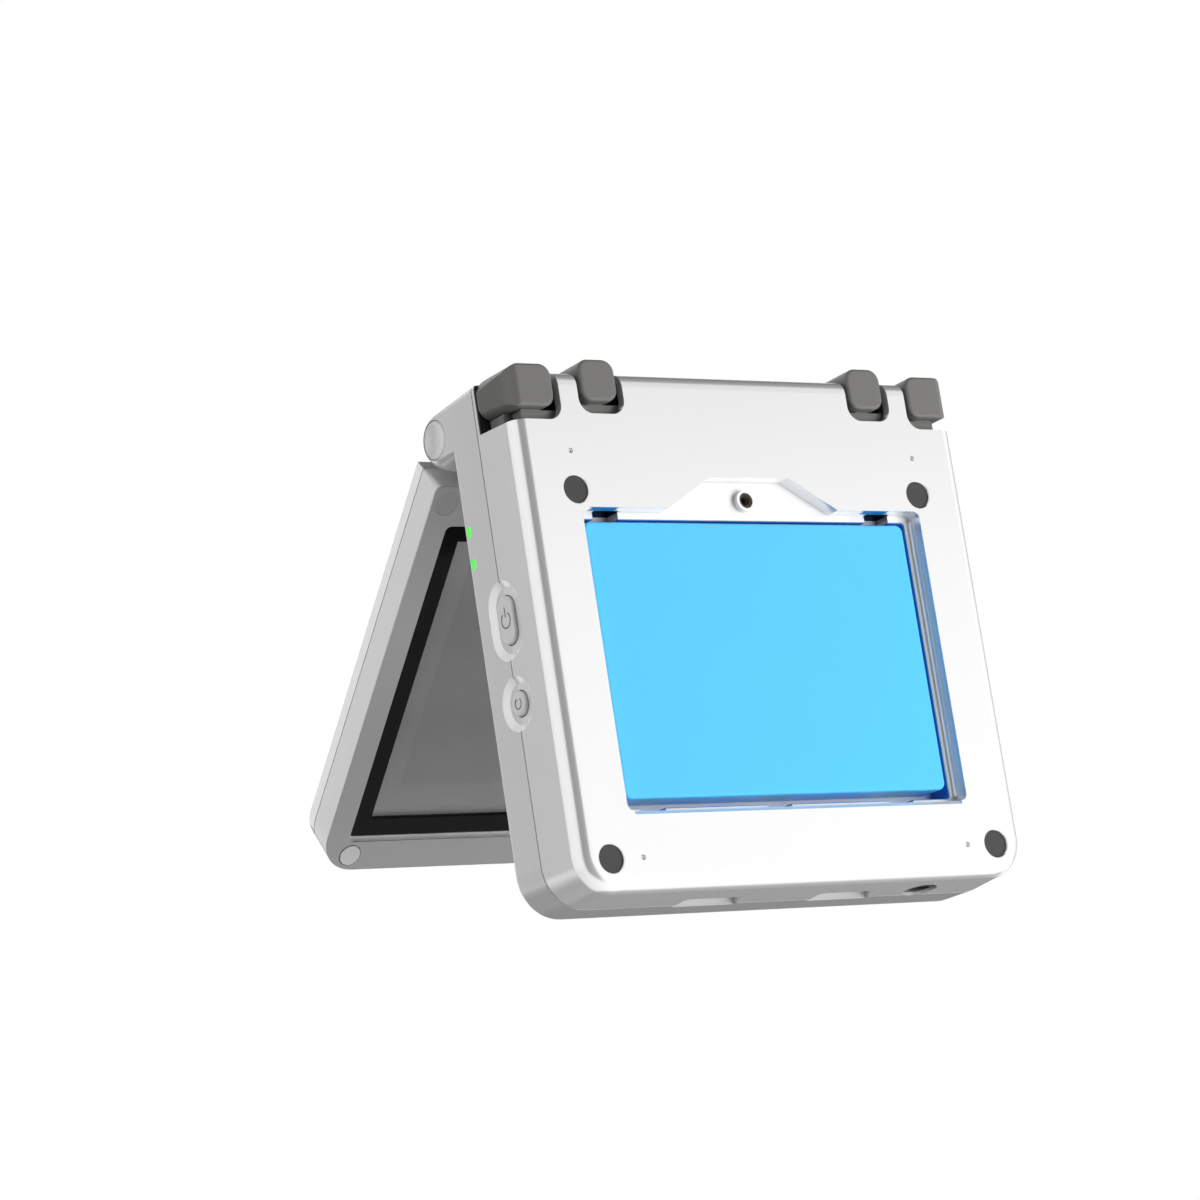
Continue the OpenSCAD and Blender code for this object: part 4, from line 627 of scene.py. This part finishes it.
finishOf = {
    "bottom_shell": "pearlShell", "deck_shell": "pearlDeckShaded", "lid_cover": "pearlLid", "lid_frame": "lidFrame",
    "battery_pack": "batteryFilm", "battery_liner": "linerFilm", "latch_sleeves": "latchShadePlastic",
    "notch_plates": "notchPlastic", "cover_insert": "darkInsert", "case_screws": "platedSteel",
    "screw_plugs": "screwRubber", "main_board": "circuitBoard", "processor_shield": "platedSteel",
    "card_sockets": "platedSteel", "headphone_jack": "darkMoulding", "charging_port": "platedSteel",
    "video_port": "platedSteel", "shoulder_switches": "darkMoulding", "side_switches": "darkMoulding",
    "volume_switches": "darkMoulding", "speaker": "speakerCloth", "status_lights": "greenLight",
    "pad_membrane": "silicone", "action_membrane": "silicone", "menu_membrane": "silicone",
    "hinge_caps": "hingeCap", "hinge_pins": "platedSteel", "screen_glass": "coverGlass",
    "screen_panel": "screenPanel", "screen_board": "circuitBoard", "friction_sleeves": "platedSteel",
    "lid_pads": "lidPad", "lid_screw_covers": "lidScrewMark", "lid_screws": "platedSteel",
    "pad_pivot": "darkMoulding",
}
for name, obj in cadNodes.items():
    if name.startswith("shoulder_") and name in frame["bodies"]:
        finishName = "shoulderPlastic"
    elif name in ("power_button", "reset_button") or name.startswith("volume_") and name.endswith("_button"):
        finishName = "sideButton"
    else:
        finishName = finishOf.get(name, "controlGloss")
    obj.data.materials.clear()
    obj.data.materials.append(made[finishName].material)
print("console: finishes made and given to the nodes")


def addPiece(name, mesh, finishName, body):
    piece = bpy.data.objects.new(name, mesh)
    mesh.materials.append(made[finishName].material)
    scene.collection.objects.link(piece)
    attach(piece, body)
    return piece


def meshData(name, mesh, closed=True):
    # a closed solid's faces look outwards, and an open sheet keeps the side that it was drawn with
    if closed:
        bmesh.ops.recalc_face_normals(mesh, faces=mesh.faces)
    data = bpy.data.meshes.new(name)
    mesh.to_mesh(data)
    mesh.free()
    return data


def loft(mesh, rings):
    # joins each ring of corners to the next, and closes both ends
    for first, second in zip(rings, rings[1:]):
        for corner in range(len(first)):
            follow = (corner + 1) % len(first)
            mesh.faces.new((first[corner], first[follow], second[follow], second[corner]))
    mesh.faces.new(rings[0])
    mesh.faces.new(list(reversed(rings[-1])))


def ribbonMesh(name, strokes, values, toPlace):
    # flat open strokes of even width, raised by their thickness; toPlace maps (u, v, height) to the frame
    half, thickness = values["stroke"] / 2, values["raise"]
    mesh = bmesh.new()
    for points in strokes:
        rings = []
        for index, (u, v) in enumerate(points):
            before = points[max(index - 1, 0)]
            after = points[min(index + 1, len(points) - 1)]
            direction = Vector((after[0] - before[0], after[1] - before[1])).normalized()
            side = Vector((-direction.y, direction.x)) * half
            rings.append([mesh.verts.new(toPlace(u + sign * side.x, v + sign * side.y, height))
                          for sign, height in ((1, 0), (1, thickness), (-1, thickness), (-1, 0))])
        loft(mesh, rings)
    return meshData(name, mesh)


def arcPoints(radius, fromDegrees, toDegrees, steps):
    return [(radius * math.cos(math.radians(fromDegrees + (toDegrees - fromDegrees) * step / steps)),
             radius * math.sin(math.radians(fromDegrees + (toDegrees - fromDegrees) * step / steps)))
            for step in range(steps + 1)]


def onSideButton(node, sink):
    low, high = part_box(node)
    centreY, centreZ = (low[1] + high[1]) / 2, (low[2] + high[2]) / 2
    face = high[0]

    def place(u, v, height):
        # u runs down the wall to the deck's side, v towards the hinge
        return face + (height - sink) * mm, centreY + v * mm, centreZ + u * mm
    return place


powerMark = {"radius": 1.25, "gapDegrees": 34, "steps": 40, "barLow": 0.5, "barHigh": 2.1, "stroke": 0.24,
             "raise": 0.035, "sink": 0.01}


def openRing(values):
    # a ring with a gap at its top
    gap = values["gapDegrees"]
    return arcPoints(values["radius"], 90 + gap, 450 - gap, values["steps"])


def addPowerMark(values):
    bar = [(0, values["barLow"]), (0, values["barHigh"])]
    mesh = ribbonMesh("powerMark", [openRing(values), bar], values,
                      onSideButton("power_button", values["sink"]))
    addPiece("powerMark", mesh, "markInk", "power_button")


addPowerMark(powerMark)

# the arrow head's points lie round the ring's end, in shares of its size
resetMark = {"radius": 0.85, "gapDegrees": 40, "steps": 36, "headSize": 0.5,
             "head": ((-0.9, -0.15), (0.05, 0.1), (0.25, -1.0)), "stroke": 0.2, "raise": 0.035, "sink": 0.01}


def addResetMark(values):
    # most of a ring with an arrow head
    ring = openRing(values)
    tip = Vector(ring[-1])
    head = [(tip.x + values["headSize"] * u, tip.y + values["headSize"] * v) for u, v in values["head"]]
    mesh = ribbonMesh("resetMark", [ring, head], values, onSideButton("reset_button", values["sink"]))
    addPiece("resetMark", mesh, "markInk", "reset_button")


addResetMark(resetMark)

padRidges = {"count": 4, "from": 6.0, "to": 7.6, "half": 1.0, "stroke": 0.3, "raise": 0.12, "sink": 0.03}


def addPadRidges(values):
    # a raised chevron near the end of each arm
    low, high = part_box("direction_pad")
    centre = Vector(((low[0] + high[0]) / 2, (low[1] + high[1]) / 2, high[2]))
    shape = [(-values["half"], values["from"]), (0, values["to"]), (values["half"], values["from"])]
    strokes = []
    for turn in range(values["count"]):
        angle = 2 * math.pi * turn / values["count"]
        strokes.append([(u * math.cos(angle) - v * math.sin(angle), u * math.sin(angle) + v * math.cos(angle))
                        for u, v in shape])

    def place(u, v, height):
        return centre.x + u * mm, centre.y + v * mm, centre.z + (height - values["sink"]) * mm
    mesh = ribbonMesh("padRidges", strokes, values, place)
    addPiece("padRidges", mesh, "controlGloss", "direction_pad")


addPadRidges(padRidges)

insertThread = {"bore": 0.8, "start": 0.2, "turns": 6, "pitch": 0.45, "depth": 0.14, "flank": 0.16,
                "sink": 0.03, "steps": 40, "fadeSteps": 12}


def addInsertThread(values):
    # the thread inside the cover screw's insert, fading out at both ends
    low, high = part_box("cover_insert")
    centre = Vector(((low[0] + high[0]) / 2, (low[1] + high[1]) / 2, low[2]))
    root = (values["bore"] + values["sink"]) * mm
    mesh = bmesh.new()
    rings = []
    total = values["turns"] * values["steps"]
    for step in range(total + 1):
        angle = 2 * math.pi * step / values["steps"]
        rise = (values["pitch"] * step / values["steps"] + values["start"]) * mm
        spoke = Vector((math.cos(angle), math.sin(angle), 0))
        fade = min(1.0, step / values["fadeSteps"], (total - step) / values["fadeSteps"])
        crest = (values["bore"] - values["depth"] * fade) * mm
        rings.append([mesh.verts.new(centre + spoke * radius + Vector((0, 0, rise + drop * mm)))
                      for radius, drop in ((root, -values["flank"]), (crest, 0.0), (root, values["flank"]))])
    loft(mesh, rings)
    addPiece("insertThread", meshData("insertThread", mesh), "darkInsert", "base")


addInsertThread(insertThread)

# blue foil on the bay's rear wall, over the cover's hook slots
latchFoils = {"fromX": (26.3, -27.4), "width": 4.8, "wall": 18.9, "from": 0.15, "to": 2.1, "thickness": 0.05,
              "sink": 0.02}


def addLatchFoils(values):
    mesh = bmesh.new()
    for low in values["fromX"]:
        high = low + values["width"]
        outline = [(low, values["from"]), (high, values["from"]), (high, values["to"]), (low, values["to"])]
        loft(mesh, [[mesh.verts.new((x * mm, (values["wall"] - depth) * mm, z * mm)) for x, z in outline]
                    for depth in (values["thickness"], -values["sink"])])
    addPiece("latchFoils", meshData("latchFoils", mesh), "latchFoil", "base")


addLatchFoils(latchFoils)


rimAngle = 50  # edges that turn by more than this many degrees are rounded


def addSoftRim(piece, width, segments):
    rim = piece.modifiers.new("softRim", "BEVEL")
    rim.width = width * mm
    rim.segments = segments
    rim.limit_method = "ANGLE"
    rim.angle_limit = math.radians(rimAngle)


# the catching lip of each outer shoulder key, carried on to the side wall
shoulderLips = {"x": (41.0, 42.75), "y": (31.95, 35.25), "z": (4.4, 8.3), "rim": 0.08, "rimSteps": 2}


def addShoulderLip(name, body, side, values):
    mesh = bmesh.new()
    for vert in bmesh.ops.create_cube(mesh, size=1.0)["verts"]:
        vert.co = Vector([(low + high) / 2 * mm + (high - low) * mm * part
                          for (low, high), part in zip((values["x"], values["y"], values["z"]), vert.co)])
        vert.co.x *= side
    lip = addPiece(name, meshData(name, mesh), "shoulderPlastic", body)
    addSoftRim(lip, values["rim"], values["rimSteps"])


addShoulderLip("shoulderLipRight", "shoulder_right_outer", 1, shoulderLips)
addShoulderLip("shoulderLipLeft", "shoulder_left_outer", -1, shoulderLips)

# soft rims on moulded pieces whose edges are square
softRims = {"screw_plugs": 0.18, "lid_pads": 0.12, "processor_shield": 0.2, "speaker": 0.2}
softRimSteps = 3
for name, width in softRims.items():
    addSoftRim(cadNodes[name], width, softRimSteps)
print("console: small pieces made")


studio = {"backgroundStrength": 1.0, "fillStrength": 0.21, "fillSwing": 0.05}


def addWorld(values):
    # white to the camera, to reflections and through glass, and a plain grey to all else
    world = bpy.data.worlds.new("world")
    scene.world = world
    world.use_nodes = True
    tree = world.node_tree
    background = tree.nodes["Background"]
    path = tree.nodes.new("ShaderNodeLightPath")
    place = tree.nodes.new("ShaderNodeTexCoord")
    parts = tree.nodes.new("ShaderNodeSeparateXYZ")
    tree.links.new(place.outputs["Generated"], parts.inputs[0])
    fill = mathNode(tree, "MULTIPLY_ADD", parts.outputs["Y"], values["fillSwing"],
                    third=values["fillStrength"])
    seen = mathNode(tree, "MAXIMUM", path.outputs["Is Camera Ray"], path.outputs["Is Glossy Ray"])
    seen = mathNode(tree, "MAXIMUM", seen, path.outputs["Is Transmission Ray"])
    strength = tree.nodes.new("ShaderNodeMix")
    strength.data_type = "FLOAT"
    tree.links.new(seen, strength.inputs["Factor"])
    tree.links.new(fill, strength.inputs["A"])
    strength.inputs["B"].default_value = values["backgroundStrength"]
    tree.links.new(strength.outputs["Result"], background.inputs["Strength"])
    background.inputs["Color"].default_value = (1, 1, 1, 1)


addWorld(studio)

lamps = {
    "underKey": {"place": (-0.28, -0.22, -0.58), "size": 0.5, "power": 7.0},
    "sideKey": {"place": (0.95, 0.15, 0.10), "size": 0.6, "power": 3.0},
    "backKey": {"place": (-0.25, 0.70, 0.70), "size": 0.7, "power": 2.2},
    "frontFill": {"place": (-0.25, -0.85, 0.10), "size": 0.5, "power": 3.5},
    "topSoft": {"place": (0.08, 0.10, 1.20), "size": 1.2, "power": 8.5},
}


def addLamp(name, values):
    data = bpy.data.lights.new(name, "AREA")
    data.size = values["size"]
    data.energy = values["power"]
    lamp = bpy.data.objects.new(name, data)
    lamp.location = values["place"]
    lamp.rotation_euler = Vector(values["place"]).to_track_quat("Z", "Y").to_euler()
    lamp.visible_glossy = False
    scene.collection.objects.link(lamp)


for name, values in lamps.items():
    addLamp(name, values)

# cards that only reflections see; each lays one bright or dark band over the satin shells
cards = {
    "sideCard": {"centre": (0.60, 0.15, 0.05), "facing": (-1, 0, 0), "size": (0.9, 0.80), "glow": 1.15},
    "deckCard": {"centre": (0.62, 0.20, 0.62), "facing": (0, 0, -1), "size": (0.44, 0.9), "glow": 0.48},
    "underCard": {"centre": (0.24, 0.10, -0.50), "facing": (0, 0, 1), "size": (0.56, 1.2), "glow": 0.02},
    "hingeCard": {"centre": (-0.45, 0.72, -0.60), "facing": (0, 0, 1), "size": (0.9, 1.0), "glow": 0.67},
    "rearCard": {"centre": (-0.45, 0.64, 0.15), "facing": (0, -1, 0), "size": (0.9, 0.9), "glow": 0.08},
    "frontCard": {"centre": (-0.40, -0.20, 0.62), "facing": (0, 0, -1), "size": (0.7, 1.2), "glow": 0.14},
    "frontLowCard": {"centre": (-0.50, -0.62, 0.37), "facing": (0, 1, 0), "size": (0.9, 0.5), "glow": 0.08},
    "cornerCard": {"centre": (0.24, -0.52, 0.62), "facing": (0, 0, -1), "size": (0.58, 0.55), "glow": 0.25},
    "edgeCard": {"centre": (-0.92, 0.22, 0.42), "facing": (1, 0, 0), "size": (0.9, 0.8), "glow": 0.45},
}


def sheetMesh(name, width, length, height=0.0):
    mesh = bmesh.new()
    corners = ((-0.5, -0.5), (0.5, -0.5), (0.5, 0.5), (-0.5, 0.5))
    mesh.faces.new([mesh.verts.new((u * width, v * length, height)) for u, v in corners])
    return meshData(name, mesh, closed=False)


def addCard(name, values):
    data = sheetMesh(name, *values["size"])
    card = bpy.data.objects.new(name, data)
    turn = Vector(values["facing"]).to_track_quat("Z", "Y").to_matrix().to_4x4()
    card.matrix_world = Matrix.Translation(values["centre"]) @ turn
    material = bpy.data.materials.new(name)
    material.use_nodes = True
    shader = material.node_tree.nodes["Principled BSDF"]
    shader.inputs["Base Color"].default_value = (0, 0, 0, 1)
    shader.inputs["Specular IOR Level"].default_value = 0.0
    shader.inputs["Emission Color"].default_value = (1, 1, 1, 1)
    shader.inputs["Emission Strength"].default_value = values["glow"]
    data.materials.append(material)
    scene.collection.objects.link(card)
    for ray in ("camera", "diffuse", "transmission", "volume_scatter", "shadow"):
        setattr(card, "visible_" + ray, False)


for name, values in cards.items():
    addCard(name, values)

floorLook = {"side": 12.0, "drop": 0.05, "colour": (0.93, 0.93, 0.93), "roughness": 0.8, "sheen": 0.1}


def addFloor(values):
    # seen only from above, so the underside stays open to the light and to view
    data = sheetMesh("floor", values["side"], values["side"], -values["drop"] * mm)
    floor = bpy.data.objects.new("floor", data)
    material = bpy.data.materials.new("floor")
    material.use_nodes = True
    tree = material.node_tree
    shader = tree.nodes["Principled BSDF"]
    shader.inputs["Base Color"].default_value = (*values["colour"], 1)
    shader.inputs["Roughness"].default_value = values["roughness"]
    shader.inputs["Specular IOR Level"].default_value = values["sheen"]
    path = tree.nodes.new("ShaderNodeLightPath")
    side = tree.nodes.new("ShaderNodeNewGeometry")
    front = mathNode(tree, "SUBTRACT", 1.0, side.outputs["Backfacing"])
    shown = mathNode(tree, "MULTIPLY", path.outputs["Is Camera Ray"], front)
    clear = tree.nodes.new("ShaderNodeBsdfTransparent")
    mixed = tree.nodes.new("ShaderNodeMixShader")
    tree.links.new(shown, mixed.inputs["Fac"])
    tree.links.new(clear.outputs[0], mixed.inputs[1])
    tree.links.new(shader.outputs[0], mixed.inputs[2])
    tree.links.new(mixed.outputs[0], tree.nodes["Material Output"].inputs["Surface"])
    data.materials.append(material)
    scene.collection.objects.link(floor)


addFloor(floorLook)
print("console: lights and floor set")

bpy.context.view_layer.update()
scene.view_settings.view_transform = "Standard"
